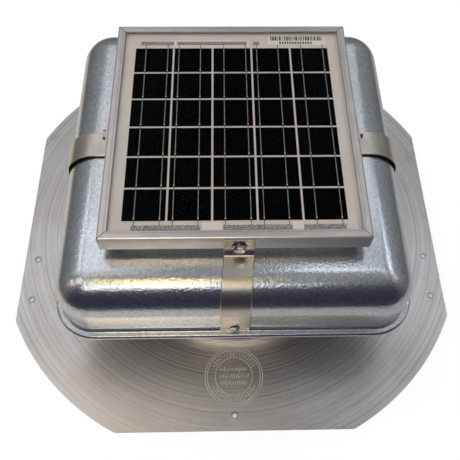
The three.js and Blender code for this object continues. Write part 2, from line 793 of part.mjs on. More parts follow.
// A twisted, slightly cambered sheet between the root and tip circles, centred on +X.
function fanBlade() {
  const [along, across] = [6, 4];
  const point = (i, j, lift) => {
    const share = i / along;
    const radius = THREE.MathUtils.lerp(fan.root, fan.tip, share);
    const halfChord = THREE.MathUtils.lerp(bladeChord.root, bladeChord.tip, Math.sin(quarter * share));
    const offset = halfChord * ((2 * j) / across - 1);
    const twist = THREE.MathUtils.smoothstep(share, 0.25, 1);
    const pitch = THREE.MathUtils.degToRad(THREE.MathUtils.lerp(fan.rootPitch, fan.tipPitch, twist));
    const camber = fan.camber * share * share * (1 - (offset / halfChord) ** 2);
    const angle = offset / radius;
    const z = fan.plane - offset * Math.tan(pitch) + camber + lift;
    return [radius * Math.cos(angle), radius * Math.sin(angle), z];
  };
  const positions = [];
  for (const lift of [fan.sheet / 2, -fan.sheet / 2]) {
    for (let i = 0; i <= along; i++) {
      for (let j = 0; j <= across; j++) positions.push(...point(i, j, lift));
    }
  }
  const layer = (along + 1) * (across + 1);
  const at = (i, j) => i * (across + 1) + j;
  const index = [];
  const quad = (a, b, c, d) => index.push(a, b, c, a, c, d);
  for (let i = 0; i < along; i++) {
    for (let j = 0; j < across; j++) {
      const [a, b, c, d] = [at(i, j), at(i + 1, j), at(i + 1, j + 1), at(i, j + 1)];
      quad(a, b, c, d);
      quad(d + layer, c + layer, b + layer, a + layer);
    }
    quad(at(i, 0), at(i, 0) + layer, at(i + 1, 0) + layer, at(i + 1, 0));
    quad(at(i + 1, across), at(i + 1, across) + layer, at(i, across) + layer, at(i, across));
  }
  for (let j = 0; j < across; j++) {
    quad(at(0, j + 1), at(0, j + 1) + layer, at(0, j) + layer, at(0, j));
    quad(at(along, j), at(along, j) + layer, at(along, j + 1) + layer, at(along, j + 1));
  }
  const blade = new THREE.BufferGeometry();
  blade.setAttribute("position", new THREE.Float32BufferAttribute(positions, 3));
  blade.setIndex(index);
  return geometryOf(solidOf(blade));
}

place("fan_hub", fanHub(), boltSteel);
for (let number = 0; number < fan.blades; number++) {
  place(`fan_blade_${number + 1}`, fanBlade(), bladeAluminium).rotation.z = bladeAngle(number);
}
const screwMiddle = setScrew.start + setScrew.length / 2;
const hubScrew = barY(setScrew.radius, setScrew.length, 0, -screwMiddle, setScrew.z);
place("set_screw", hubScrew, boltSteel).rotation.z = quarter + bladeAngle(0.5);

export default assembly;
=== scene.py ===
# Solar attic fan: the looks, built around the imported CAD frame.
# Metres, +Z up, front towards -Y. Every place comes from the frame's boxes and the sizes below.

import math
import random
from types import SimpleNamespace as Sizes

import bmesh
import bpy
from mathutils import Matrix, Vector, noise


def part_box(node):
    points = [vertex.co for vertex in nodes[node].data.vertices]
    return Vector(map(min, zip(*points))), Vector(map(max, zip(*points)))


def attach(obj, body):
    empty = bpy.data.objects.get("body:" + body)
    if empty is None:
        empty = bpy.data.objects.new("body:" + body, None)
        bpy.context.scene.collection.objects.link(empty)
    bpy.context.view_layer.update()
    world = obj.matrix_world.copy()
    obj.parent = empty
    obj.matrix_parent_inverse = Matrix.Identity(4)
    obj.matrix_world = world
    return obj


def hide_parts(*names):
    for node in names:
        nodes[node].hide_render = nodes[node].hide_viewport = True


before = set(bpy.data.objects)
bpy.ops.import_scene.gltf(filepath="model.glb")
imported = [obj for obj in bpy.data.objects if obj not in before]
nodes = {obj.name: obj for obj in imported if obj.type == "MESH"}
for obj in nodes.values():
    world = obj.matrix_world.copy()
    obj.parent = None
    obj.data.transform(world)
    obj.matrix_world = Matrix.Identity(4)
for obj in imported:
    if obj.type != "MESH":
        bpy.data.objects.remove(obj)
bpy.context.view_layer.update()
scene = bpy.context.scene
rng = random.Random(11)

QUARTER = math.pi / 2
TURN = 2 * math.pi

# ---- sizes, in metres ----

GAP = 0.0003
WELD = 1e-6  # points nearer than this are one
SIDES = {"front": 0, "right": 1, "back": 2, "left": 3}  # quarter turns from the front
SQUARE = [(-1, -1), (1, -1), (1, 1), (-1, 1)]

FLANGE = Sizes(half=0.33, circle=0.37, sheet=0.0012, even=0.322, soft=0.0003, ripple=0.00007)
NAILS = [(0, -0.31), (0.31, -0.068), (-0.31, -0.068), (0.31, -0.135), (-0.31, -0.135)]
NAIL = Sizes(hole=0.0036, dimple=0.0078, height=0.0005, lip=0.0011)
THROAT = Sizes(radius=0.19, top=0.165, flare=0.03, foot=0.0212)
MARK = Sizes(
    y=-0.255, outer=0.042, second=0.0385, inner=0.027, ridge=0.0018, height=0.0011,
    dashes=46, dash=0.0032, row=0.0095,
)

HOOD = Sizes(
    half=0.227, corner=0.046, edge=0.047, rim_top=0.131, rim_bottom=0.127, rim=0.0095,
    roll=0.004, fillet=0.003, sheet=0.001, corner_steps=14, side_steps=26, edge_steps=18,
    lead_hole=0.0063, screw_hole=0.0026, top_insets=(0.2, 0.16, 0.125, 0.095, 0.07),
    dents=0.0003, grain=0.00006, turn_z=0.17,
)
HOOD_BEAD = [(0.0052, 0), (0.0044, 0.0007), (0.0034, 0.0011), (0.0024, 0.0007), (0.0016, 0)]  # (up, out)
HOOD_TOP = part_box("hood")[1].z

STRAP = Sizes(width=0.038, sheet=0.0016, lift=0.0025, shoulder=0.044, bend=0.007, skew=0.005)
PANEL_BOLT = Sizes(
    z=0.248, hex=0.0074, head=0.0052, washer=0.009, sheet=0.0016, shank=0.0039,
    length=0.014, cup=0.0004, ring=0.0006, ring_edge=0.0007,
)
STRAP_SCREW = Sizes(
    z=0.145, hex=0.0046, head=0.0036, washer=0.0062, sheet=0.001, shank=0.0023,
    length=0.008, cup=0.0012, ring=0.0005, ring_edge=0.0008,
)
THREAD = Sizes(pitch=0.0011, start=0.002, core=0.84, point=0.7)
RIVET = Sizes(radius=0.0032, height=0.0012, seat=0.0006)

PANEL = Sizes(
    lip=0.011, wall=0.0018, foot=0.016, ledge=0.008, ledge_sheet=0.0015, slope=0.0019,
    round=0.0012, round_steps=6, turn=math.radians(25), mitre_gap=0.0002,
)
CELL = Sizes(width=0.05225, depth=0.04375, space=0.0026, rows=6, sheet=0.0003)
RIBBON = Sizes(width=0.0009, sheet=0.00025, dip=0.0018, solder=0.0014, solder_length=0.0022)
RIBBON_PLACES = [(0.28, 0.87), (0.12, 0.7)]  # shares of the cell's width, for even and odd columns
BUS = Sizes(width=0.0068, sheet=0.0002)
LABEL = Sizes(x=0.052, length=0.083, depth=0.0165, edge=0.0118)

LEAD_BEND = 0.022
LID_SCREW = Sizes(x=0.03, y=0.023, radius=0.0024, seat=0.0004, edge=0.0007, slot=0.0008)
CAP_SCREW = Sizes(radius=0.0026, seat=0.0006, edge=0.0009, slot=0.0009)
BRACKET_RIVETS = Sizes(x=0.008, z=0.147, sheet=0.0024)
ARM_RIVETS = Sizes(x=0.007, z=0.138, sheet=0.0026)
SCREEN = Sizes(radius=0.1899, wire=0.00035, uprights=190, hoops=7, hoop_steps=120, rail=0.006)
MOTOR = Sizes(
    wall=0.002, seat=0.0113, seat_wall=0.0027, seat_depth=0.007, cap=0.003, bore=0.005,
    grooves=(0.012, 0.02, 0.028), groove=0.0012, screws=0.031,
)
BLADES = 5
BLADE_RIVETS = [(0.056, 0.0), (0.07, -0.0065), (0.07, 0.0065)]  # along the arm and across it
BLADE = Sizes(
    root=0.048, tip=0.1775, plane=0.078, sheet=0.0015, root_pitch=math.radians(27),
    tip_pitch=math.radians(19), camber=0.005, root_chord=0.017, tip_chord=0.06, corner=0.016,
    swage=0.0012, swage_width=0.09,
)
HUB = Sizes(
    radius=0.013, bottom=0.062, top=0.088, bore=0.00435, arm=0.022, arm_sheet=0.0025,
    reach=0.082, drop=0.0026,
)

# ---- node materials ----

FINISH = {}


class Nodes:
    """A node tree, and the few steps that the finishes and the room are made from."""

    def __init__(self, tree, place):
        self.tree = tree
        self.place = self.node("ShaderNodeTexCoord").outputs[place]

    def put(self, socket, value):
        if isinstance(value, bpy.types.NodeSocket):
            self.tree.links.new(value, socket)
        elif socket.type == "RGBA":
            socket.default_value = (*value, 1)
        else:
            socket.default_value = value

    def node(self, kind, inputs=None, **settings):
        """A new node; each input is a value or another node's output."""
        made = self.tree.nodes.new(kind)
        for key, value in settings.items():
            setattr(made, key, value)
        for key, value in (inputs or {}).items():
            self.put(made.inputs[key], value)
        return made

    def noise(self, scale, detail=3, rough=0.55, place=None):
        inputs = {"Vector": place or self.place, "Scale": scale, "Detail": detail, "Roughness": rough}
        return self.node("ShaderNodeTexNoise", inputs).outputs["Fac"]

    def vector(self, operation, a, b=(0, 0, 0), output="Vector"):
        return self.node("ShaderNodeVectorMath", {0: a, 1: b}, operation=operation).outputs[output]

    def maths(self, operation, a, b):
        return self.node("ShaderNodeMath", {0: a, 1: b}, operation=operation).outputs[0]

    def span(self, value, low, high, to_low=0.0, to_high=1.0):
        """A value between low and high, scaled to lie between to_low and to_high."""
        inputs = {"Value": value, "From Min": low, "From Max": high, "To Min": to_low, "To Max": to_high}
        return self.node("ShaderNodeMapRange", inputs).outputs["Result"]

    def blend(self, share, a, b):
        made = self.node("ShaderNodeMix", {"Factor": share}, data_type="RGBA")
        colours = [socket for socket in made.inputs if socket.type == "RGBA"]
        self.put(colours[0], a)
        self.put(colours[1], b)
        return next(socket for socket in made.outputs if socket.type == "RGBA")

    def axis(self, name):
        return self.node("ShaderNodeSeparateXYZ", {0: self.place}).outputs[name]

    def bump(self, height, distance, strength, under=None):
        inputs = {"Height": height, "Distance": distance, "Strength": strength}
        if under:
            inputs["Normal"] = under
        return self.node("ShaderNodeBump", inputs).outputs["Normal"]


class Finish(Nodes):
    """A Principled material, kept in FINISH under its name."""

    def __init__(self, name, **sockets):
        self.material = bpy.data.materials.new(name)
        self.material.use_nodes = True
        super().__init__(self.material.node_tree, "Object")
        self.shader = self.tree.nodes["Principled BSDF"]
        self.set(**sockets)
        FINISH[name] = self.material

    def set(self, **sockets):
        for key, value in sockets.items():
            self.put(self.shader.inputs[key.replace("_", " ")], value)

    def mix_in(self, share, other):
        """Mixes another shader into the material's own."""
        mix = self.node("ShaderNodeMixShader", {0: share, 1: self.shader.outputs[0], 2: other.outputs[0]})
        self.put(self.tree.nodes["Material Output"].inputs["Surface"], mix.outputs[0])


def galvanised():
    """Hot-dip zinc: small spangles of different tone and a fine grain, with a soft glow round lights."""
    f = Finish("galvanised", Metallic=1.0)
    cells = f.node("ShaderNodeTexVoronoi", {"Vector": f.place, "Scale": 480})
    spangle = f.node("ShaderNodeSeparateColor", {0: cells.outputs["Color"]}).outputs[0]
    cloud = f.noise(9, 4)
    tone = f.blend(spangle, (0.50, 0.525, 0.55), (0.78, 0.80, 0.82))
    tone = f.blend(f.span(cloud, 0.35, 0.7, 0, 0.4), tone, (0.48, 0.50, 0.525))
    rough = f.maths("ADD", f.span(spangle, 0, 1, 0.12, 0.18), f.span(cloud, 0.3, 0.7, -0.02, 0.03))
    normal = f.bump(f.noise(170, 2, 0.6), 0.0004, 0.08)
    normal = f.bump(f.noise(340, 2, 0.6), 0.0006, 0.4, normal)
    f.set(Base_Color=tone, Roughness=rough, Normal=normal)
    hazy = {"Base Color": tone, "Metallic": 1.0, "Roughness": 0.36, "Normal": normal}
    f.mix_in(0.28, f.node("ShaderNodeBsdfPrincipled", hazy))


def spun_aluminium():
    """A spun disc: tool rings of uneven depth, dulling stains and a fine grain, with a painted warm pool of
    light at the front left and painted shade round the stamped mark, just in front of the hood.
    """
    f = Finish("spun_aluminium", Metallic=1.0, Anisotropic=0.6, Anisotropic_Rotation=0.25)
    tangent = f.node("ShaderNodeTangent", direction_type="RADIAL", axis="Z").outputs[0]
    radius = f.vector("LENGTH", f.vector("MULTIPLY", f.place, (1, 1, 0)), output="Value")
    rings = f.node("ShaderNodeCombineXYZ", {"X": radius}).outputs[0]
    coarse = f.noise(150, 3, 0.6, rings)
    fine = f.noise(900, 2, 0.7, rings)
    lines = f.noise(400, 4, 0.75, rings)
    stain = f.noise(26, 5, 0.65)
    # front and left mask a painted warm pool of light on the flange's front left
    front, left = f.span(f.axis("Y"), -0.2, -0.31, 0, 0.75), f.span(f.axis("X"), -0.02, -0.18)
    # Distance from the stamped mark, for painted shade round it under the hood's front
    shade_from_mark = f.vector("DISTANCE", f.place, (0, MARK.y, 0), "Value")
    tone = f.blend(f.span(coarse, 0.35, 0.68), (0.66, 0.64, 0.62), (0.83, 0.80, 0.78))
    tone = f.blend(f.span(f.noise(7, 4), 0.4, 0.7, 0, 0.5), tone, (0.60, 0.535, 0.49))
    tone = f.blend(f.span(stain, 0.55, 0.75, 0, 0.4), tone, (0.48, 0.43, 0.385))
    tone = f.blend(f.span(lines, 0.48, 0.38), tone, (0.33, 0.31, 0.295))
    tone = f.blend(f.span(lines, 0.55, 0.65, 0, 0.8), tone, (1.0, 0.98, 0.96))
    tone = f.blend(f.span(fine, 0.3, 0.7, 0, 0.25), tone, (0.45, 0.43, 0.415))
    # Painted light: a warm, brighter pool at the front left.
    tone = f.blend(f.maths("MULTIPLY", front, left), tone, (1.0, 0.85, 0.74))
    # Painted shade: darker round the stamped mark, in front of the hood.
    tone = f.blend(f.span(shade_from_mark, 0.17, 0.04, 0, 0.45), tone, (0.40, 0.375, 0.36))
    rough = f.maths("ADD", f.span(fine, 0.3, 0.7, 0.28, 0.33), f.span(stain, 0.4, 0.7, 0, 0.05))
    normal = f.bump(coarse, 0.0006, 0.35)
    normal = f.bump(lines, 0.001, 0.6, normal)
    normal = f.bump(fine, 0.0002, 0.3, normal)
    f.set(Base_Color=tone, Roughness=rough, Normal=normal, Tangent=tangent)


def stretched(f, scale):
    return f.node("ShaderNodeMapping", {"Vector": f.place, "Scale": scale}).outputs["Vector"]


def zinc_strap():
    """Warm grey zinc on strip: a granular surface, faint brushing along it, darker blotches."""
    f = Finish("zinc_strap", Metallic=1.0)
    blotch = f.noise(38, 5, 0.65)
    brushed = f.noise(60, 3, 0.6, stretched(f, (1, 14, 14)))
    tone = f.blend(f.span(blotch, 0.38, 0.66), (0.68, 0.61, 0.525), (0.53, 0.485, 0.425))
    tone = f.blend(f.span(brushed, 0.4, 0.7, 0, 0.3), tone, (0.72, 0.67, 0.61))
    rough = f.maths("ADD", f.span(blotch, 0.3, 0.7, 0.25, 0.33), f.span(brushed, 0.3, 0.7, -0.02, 0.04))
    normal = f.bump(f.noise(900, 1), 0.0002, 0.25, f.bump(brushed, 0.0002, 0.05))
    f.set(Base_Color=tone, Roughness=rough, Normal=normal)


def plain_metal(name, light, dark, rough, grain=600, stretch=(1, 1, 1), depth=0.0001, metallic=1.0):
    """Metal or paint with a fine grain, faint clouding and a matching spread of gloss."""
    f = Finish(name, Metallic=metallic)
    fine = f.noise(grain, 3, 0.6, stretched(f, stretch))
    tone = f.blend(f.span(f.noise(45, 4, 0.6), 0.35, 0.7), light, dark)
    tone = f.blend(f.span(fine, 0.35, 0.7, 0, 0.3), tone, dark)
    f.set(Base_Color=tone, Roughness=f.span(fine, 0.3, 0.7, rough - 0.04, rough + 0.06))
    f.set(Normal=f.bump(fine, depth, 0.4))


def matt(name, light, dark, rough, grain=500):
    """Film, moulded plastic or rubber: a fine texture and a little unevenness in tone."""
    f = Finish(name)
    fine = f.noise(grain, 3, 0.6)
    tone = f.blend(f.span(f.noise(30, 4, 0.6), 0.35, 0.7), light, dark)
    f.set(Base_Color=tone, Roughness=f.span(fine, 0.3, 0.7, rough - 0.05, rough + 0.05))
    f.set(Normal=f.bump(fine, 0.00008, 0.5))


def tinned_ribbon(name, dark, light):
    """Flat solder-coated copper, blotched where the solder lies thicker."""
    f = Finish(name, Metallic=0.2)
    blob = f.noise(650, 2, 0.7)
    tone = f.blend(f.span(blob, 0.4, 0.62), dark, light)
    f.set(Base_Color=tone, Roughness=f.span(blob, 0.3, 0.7, 0.35, 0.5), Normal=f.bump(blob, 0.0002, 0.4))


def solar_glass():
    """Low-iron tempered glass with a faint rolled texture; light passes it without a shadow."""
    f = Finish("solar_glass", Base_Color=(0.96, 0.98, 0.98), Roughness=0.06, IOR=1.06)
    f.set(Transmission_Weight=1.0, Normal=f.bump(f.noise(800, 1), 0.0002, 0.5))
    shadow = f.node("ShaderNodeLightPath").outputs["Is Shadow Ray"]
    f.mix_in(shadow, f.node("ShaderNodeBsdfTransparent"))


def cell_silicon():
    """Near-black silicon: fine silver fingers across each cell over a faint blue mottling."""
    f = Finish("cell_silicon", Specular_IOR_Level=0.008)
    wave = f.node("ShaderNodeTexWave", {"Vector": f.place, "Scale": 300}, bands_direction="Y")
    finger = f.span(wave.outputs["Fac"], 0.97, 1.0, 0, 0.06)
    mottle = f.noise(60, 4, 0.6)
    tone = f.blend(f.span(mottle, 0.35, 0.7), (0.0005, 0.0004, 0.0004), (0.0012, 0.0011, 0.0014))
    tone = f.blend(finger, tone, (0.06, 0.06, 0.065))
    f.set(Base_Color=tone, Roughness=f.span(mottle, 0.3, 0.7, 0.38, 0.5))
    f.set(Normal=f.bump(f.noise(1400, 2), 0.00005, 0.3))


galvanised()
spun_aluminium()
zinc_strap()
# Near-white and not metallic: the stamped mark's ridges carry a painted highlight, the light their slopes
# would catch.
plain_metal("stamped_edge", (1.0, 0.96, 0.92), (0.95, 0.90, 0.86), 0.4, 500, metallic=0.0)
plain_metal("bolt_steel", (0.9, 0.9, 0.89), (0.6, 0.6, 0.6), 0.16, 500, depth=0.0002)
plain_metal("anodised_x", (0.68, 0.625, 0.6), (0.59, 0.54, 0.52), 0.36, 500, (0.05, 1, 1))
plain_metal("anodised_y", (0.69, 0.635, 0.61), (0.6, 0.55, 0.53), 0.36, 500, (1, 0.05, 1))
# A lighter, pinkish finish for the frame's round outer edge: a painted highlight line.
plain_metal("painted_highlight_edge", (0.9, 0.8, 0.8), (0.84, 0.75, 0.75), 0.32, 400, depth=0.00001)
plain_metal("blade_aluminium", (0.72, 0.73, 0.74), (0.58, 0.59, 0.60), 0.32, 400, (0.15, 1, 1))
plain_metal("motor_paint", (0.045, 0.048, 0.052), (0.03, 0.032, 0.036), 0.42, 450, metallic=0.2)
plain_metal("magnet_steel", (0.24, 0.24, 0.25), (0.16, 0.16, 0.17), 0.4, 300, (1, 1, 12))
matt("backsheet", (0.73, 0.635, 0.60), (0.68, 0.59, 0.56), 0.6, 300)
matt("film", (0.84, 0.725, 0.695), (0.79, 0.68, 0.65), 0.5, 300)
matt("label", (0.84, 0.755, 0.705), (0.80, 0.715, 0.67), 0.55, 400)
matt("ink", (0.03, 0.03, 0.03), (0.05, 0.05, 0.05), 0.5, 400)
matt("black_plastic", (0.022, 0.022, 0.024), (0.03, 0.03, 0.033), 0.5, 700)
matt("rubber", (0.02, 0.02, 0.02), (0.03, 0.03, 0.03), 0.75, 900)
matt("circuit_board", (0.02, 0.11, 0.05), (0.015, 0.08, 0.035), 0.35, 200)
tinned_ribbon("bus", (0.11, 0.095, 0.09), (0.52, 0.465, 0.44))
tinned_ribbon("ribbon", (0.16, 0.16, 0.16), (0.44, 0.43, 0.42))
# Darker ribbon where it dips into the gaps between cells: painted shade.
tinned_ribbon("ribbon_dip_shade", (0.05, 0.05, 0.05), (0.10, 0.10, 0.10))
tinned_ribbon("solder", (0.5, 0.5, 0.49), (0.65, 0.65, 0.64))
solar_glass()
cell_silicon()

# ---- mesh helpers ----

shift = Matrix.Translation


def spin(angle, axis):
    return Matrix.Rotation(angle, 4, axis)


def polar(radius, angle):
    return radius * math.cos(angle), radius * math.sin(angle)


def around(count):
    """The angles of evenly spaced points on a circle."""
    return [TURN * i / count for i in range(count)]


def linked(name, data):
    made = bpy.data.objects.new(name, data)
    scene.collection.objects.link(made)
    return made


def clean_mesh(name, points, faces, numbers=()):
    """A mesh with doubled points joined and its faces turned outwards."""
    mesh = bpy.data.meshes.new(name)
    mesh.from_pydata([tuple(point) for point in points], [], faces)
    if numbers:
        mesh.polygons.foreach_set("material_index", numbers)
    grown = bmesh.new()
    grown.from_mesh(mesh)
    bmesh.ops.remove_doubles(grown, verts=grown.verts, dist=WELD)
    bmesh.ops.recalc_face_normals(grown, faces=grown.faces)
    grown.to_mesh(mesh)
    grown.free()
    return mesh


def piece(name, shell, finish, slot=None, body="housing", replaces=(), sharp=35):
    """A new object from (points, faces) or (points, faces, number of each face's finish).

    `finish` is one name or a list of them; `slot` is not used.
    """
    mesh = clean_mesh(name, *shell)
    for each in finish if isinstance(finish, list) else [finish]:
        mesh.materials.append(FINISH[each])
    mesh.polygons.foreach_set("use_smooth", [True] * len(mesh.polygons))
    mesh.set_sharp_from_angle(angle=math.radians(sharp))
    made = linked(name, mesh)
    if replaces:
        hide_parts(*replaces)
    slot = slot or finish
    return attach(made, body)


def join(*shells):
    """Several (points, faces) shells as one."""
    points, faces = [], []
    for shell in shells:
        start = len(points)
        points += shell[0]
        faces += [tuple(start + i for i in face) for face in shell[1]]
    return points, faces


def numbered(shells):
    """Joins (shell, material number) pairs and gives each face its number."""
    points, faces = join(*[shell for shell, _ in shells])
    numbers = [number for shell, number in shells for _ in shell[1]]
    return points, faces, numbers


def moved(shell, matrix):
    """The same shell, with its faces' material numbers if it has them, in another place."""
    return [matrix @ Vector(point) for point in shell[0]], *shell[1:]


def skin(rings, closed=False, caps=True, loop=True):
    """Joins rings of equally many points; `closed` joins the last ring to the first."""
    count = len(rings[0])
    points = [Vector(point) for ring in rings for point in ring]
    faces = []
    for a in range(len(rings) if closed else len(rings) - 1):
        b = (a + 1) % len(rings)
        for i in range(count if loop else count - 1):
            j = (i + 1) % count
            faces.append((a * count + i, a * count + j, b * count + j, b * count + i))
    if caps and not closed:
        faces.append(tuple(range(count)))
        faces.append(tuple(reversed(range((len(rings) - 1) * count, len(rings) * count))))
    return points, faces


def lathe(profile, segments=64, closed=True):
    """A [radius, z] outline turned about the Z axis; an open one ends on the axis at both ends."""
    rings = [[(*polar(r, angle), z) for r, z in profile] for angle in around(segments)]
    return skin(rings, closed=True, loop=closed)


def slab(low, high, chamfer=0.0):
    """A block between two corners, with its edges along Z and round its top taken off."""
    x0, y0, z0 = low
    x1, y1, z1 = high

    def outline(inset, z):
        cut = chamfer + 1e-5
        a, b, c, d = x0 + inset, x1 - inset, y0 + inset, y1 - inset
        return [
            (a + cut, c, z), (b - cut, c, z), (b, c + cut, z), (b, d - cut, z),
            (b - cut, d, z), (a + cut, d, z), (a, d - cut, z), (a, c + cut, z),
        ]

    if chamfer == 0.0:
        corners = [[(x0, y0, z), (x1, y0, z), (x1, y1, z), (x0, y1, z)] for z in (z0, z1)]
        return skin(corners)
    levels = [(chamfer, z0), (0.0, z0 + chamfer), (0.0, z1 - chamfer), (chamfer, z1)]
    return skin([outline(inset, z) for inset, z in levels])


def bent_line(corners, radii, steps, run=6, long=0.012):
    """A centre line with round corners, as [place, heading] pairs, with extra points on long runs."""
    line = [Vector(corner) for corner in corners]
    marks = [(line[0], (line[1] - line[0]).normalized())]
    for i in range(1, len(line) - 1):
        into = (line[i] - line[i - 1]).normalized()
        out = (line[i + 1] - line[i]).normalized()
        turn = math.atan2(into.x * out.y - into.y * out.x, into.dot(out))
        start = line[i] - into * radii[i - 1] * math.tan(abs(turn) / 2)
        side = Vector((-into.y, into.x)) * math.copysign(1, turn)
        centre = start + side * radii[i - 1]
        for step in range(steps + 1):
            bent = Matrix.Rotation(turn * step / steps, 2)
            marks.append((centre + bent @ (start - centre), bent @ into))
    marks.append((line[-1], (line[-1] - line[-2]).normalized()))
    full = []
    for (place, heading), (following, _) in zip(marks, marks[1:]):
        share = run if (following - place).length > long else 1
        full += [(place.lerp(following, step / share), heading) for step in range(share)]
    return full + [marks[-1]]


def strip(marks, width, sheet):
    """Sheet metal swept along a bent line at the front: outwards is -Y, the width runs along X."""
    slope, soft = sheet * 0.6, sheet * 0.1
    half, face = width / 2, sheet / 2
    shoulder = face - slope * 0.45
    across = 8
    section = [(-half + slope + (width - 2 * slope) * i / across, face) for i in range(across + 1)]
    section += [(half - soft, shoulder), (half, shoulder - soft), (half, -face + soft)]
    section += [(half - soft - (width - 2 * soft) * i / across, -face) for i in range(across + 1)]
    section += [(-half, -face + soft), (-half, shoulder - soft), (-half + soft, shoulder)]
    rings = []
    for place, heading in marks:
        side = Vector((-heading.y, heading.x))
        spots = [(x, place + side * lift) for x, lift in section]
        rings.append([(x, -spot.x, spot.y) for x, spot in spots])
    return skin(rings)


def side_matrix(side):
    return spin(SIDES[side] * QUARTER, "Z")


def local_box(node, side):
    """A node's box in the axes of the side that it belongs to, as if it stood at the front."""
    low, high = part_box(node)
    back = side_matrix(side).inverted()
    corners = [back @ Vector((x, y, low.z)) for x in (low.x, high.x) for y in (low.y, high.y)]
    xs, ys = [corner.x for corner in corners], [corner.y for corner in corners]
    return Vector((min(xs), min(ys), low.z)), Vector((max(xs), max(ys), high.z))


def refine(node, finish, width=0.0004):
    """A CAD node that keeps its shape: its edges are softened and it gets a finished material."""
    made = nodes[node]
    made.data.materials.clear()
    made.data.materials.append(FINISH[finish])
    weld = made.modifiers.new("weld", "WELD")
    weld.merge_threshold = WELD
    bevel = made.modifiers.new("bevel", "BEVEL")
    bevel.width = width
    bevel.segments = 2
    bevel.limit_method = "ANGLE"
    bevel.angle_limit = math.radians(40)
    bevel.use_clamp_overlap = True
    normals = made.modifiers.new("normals", "WEIGHTED_NORMAL")
    normals.keep_sharp = False


def drilled(made, holes):
    """Cuts round holes, each (radius, depth, matrix), through an object's mesh."""
    shells = []
    for radius, depth, matrix in holes:
        pin = lathe([(0, -depth), (radius, -depth), (radius, depth), (0, depth)], 32, False)
        shells.append(moved(pin, matrix))
    cutter = linked("cutter", clean_mesh("cutter", *join(*shells)))
    step = made.modifiers.new("holes", "BOOLEAN")
    step.object = cutter
    step.operation = "DIFFERENCE"
    bpy.context.view_layer.update()
    graph = bpy.context.evaluated_depsgraph_get()
    made.data = bpy.data.meshes.new_from_object(made.evaluated_get(graph))
    made.modifiers.clear()
    made.data.set_sharp_from_angle(angle=math.radians(35))
    bpy.data.objects.remove(cutter)


# ---- camera ----

CAMERA = Sizes(
    place=(-0.015, -0.4747, 0.9144), elevation=math.radians(59.21), roll=math.radians(1.78),
    yaw=math.radians(2.55), lens=48.22, shift=(-0.0138, -0.098), sensor=36,
)


def make_camera():
    elevation, roll, yaw = CAMERA.elevation, CAMERA.roll, CAMERA.yaw
    level, flat = math.cos(elevation), Vector((math.cos(yaw), -math.sin(yaw), 0))
    forward = Vector((math.sin(yaw) * level, math.cos(yaw) * level, -math.sin(elevation)))
    lean = flat.cross(forward)
    right = math.cos(roll) * flat + math.sin(roll) * lean
    up = -math.sin(roll) * flat + math.cos(roll) * lean
    data = bpy.data.cameras.new("camera")
    data.sensor_width = CAMERA.sensor
    data.lens = CAMERA.lens
    data.shift_x, data.shift_y = CAMERA.shift
    scene.camera = linked("camera", data)
    turned = Matrix((right, up, -forward)).transposed().to_4x4()
    scene.camera.matrix_world = shift(CAMERA.place) @ turned


make_camera()

# ---- flashing ----


def flange_angles():
    """One degree apart, with the corners between the arcs and the straight sides met exactly."""
    corner = math.degrees(math.acos(FLANGE.half / FLANGE.circle))
    snapped = {27: corner, 63: 90 - corner}
    angles = []
    for degree in range(360):
        quarter, rest = divmod(degree, 90)
        angles.append(math.radians(90 * quarter + snapped.get(rest, rest)))
    return angles


def flange_reach(angle):
    return min(FLANGE.circle, FLANGE.half / max(abs(math.cos(angle)), abs(math.sin(angle))))


def ripple(radius):
    """The uneven depth that the spinning tool leaves, over the flat part only."""
    return FLANGE.ripple * noise.noise(Vector((radius * 170, 0.3, 0.7)))


def flare_line(radius, base, reach):
    """The throat's foot: upright where it leaves the wall, flat where it meets the flange."""
    return [(radius + reach * (i / 10) ** 2, base + reach * (1 - i / 10) ** 2) for i in range(11)]


def flashing():
    """Closed rings from the throat's outside, over the flange, and back up inside the throat."""
    sheet, even, soft = FLANGE.sheet, FLANGE.even, FLANGE.soft
    inner, top, flare, foot = THROAT.radius, THROAT.top, THROAT.flare, THROAT.foot
    outer = inner + sheet
    bend = outer + flare
    flat = bend + 0.002
    wall, rings, rim = 8, 34, 6
    outside = [(outer, top - (top - foot) * i / wall) for i in range(wall)]
    outside += flare_line(outer, sheet, flare)
    for i in range(1, rings + 1):
        radius = flat + (even - flat) * i / rings
        outside.append((radius, sheet + ripple(radius)))
    inside = [(even, 0.0), ((even + bend) / 2, 0.0)]
    big = flare + sheet
    inside += flare_line(bend - big, 0.0, big)[::-1]
    inside += [(inner, big + (top - big) * i / wall) for i in range(1, wall + 1)]
    inside.append((inner + sheet / 2, top + 0.0002))
    columns = []
    for angle in flange_angles():
        reach = flange_reach(angle)
        column = list(outside)
        for i in range(1, rim + 1):
            radius = even + (reach - even - soft) * i / rim
            column.append((radius, sheet + ripple(radius) * (1 - i / rim)))
        column += [(reach, sheet - soft), (reach, soft), (reach - soft, 0.0)]
        columns.append([(*polar(r, angle), z) for r, z in column + inside])
    return skin(columns, closed=True)


def nail_dimple():
    """Raised sheet round a nail hole, and a dark lip in the hole: painted shade inside it."""
    hole, sheet, high = NAIL.hole, FLANGE.sheet, NAIL.height
    steps = 8
    profile = [(hole, sheet - 0.0001)]
    for i in range(steps + 1):
        rise = high * (0.5 + 0.5 * math.cos(math.pi * i / steps))
        profile.append((hole + (NAIL.dimple - hole) * i / steps, sheet + rise - 0.00005))
    low, top = sheet - 0.0008, sheet + high + 0.0002
    inner, outer = hole - 0.0002, hole + NAIL.lip
    lip = [(inner, low), (outer, low), (hole + NAIL.lip * 0.6, top), (inner, top)]
    return numbered([(lathe(profile, 40), 0), (lathe(lip, 40), 1)])


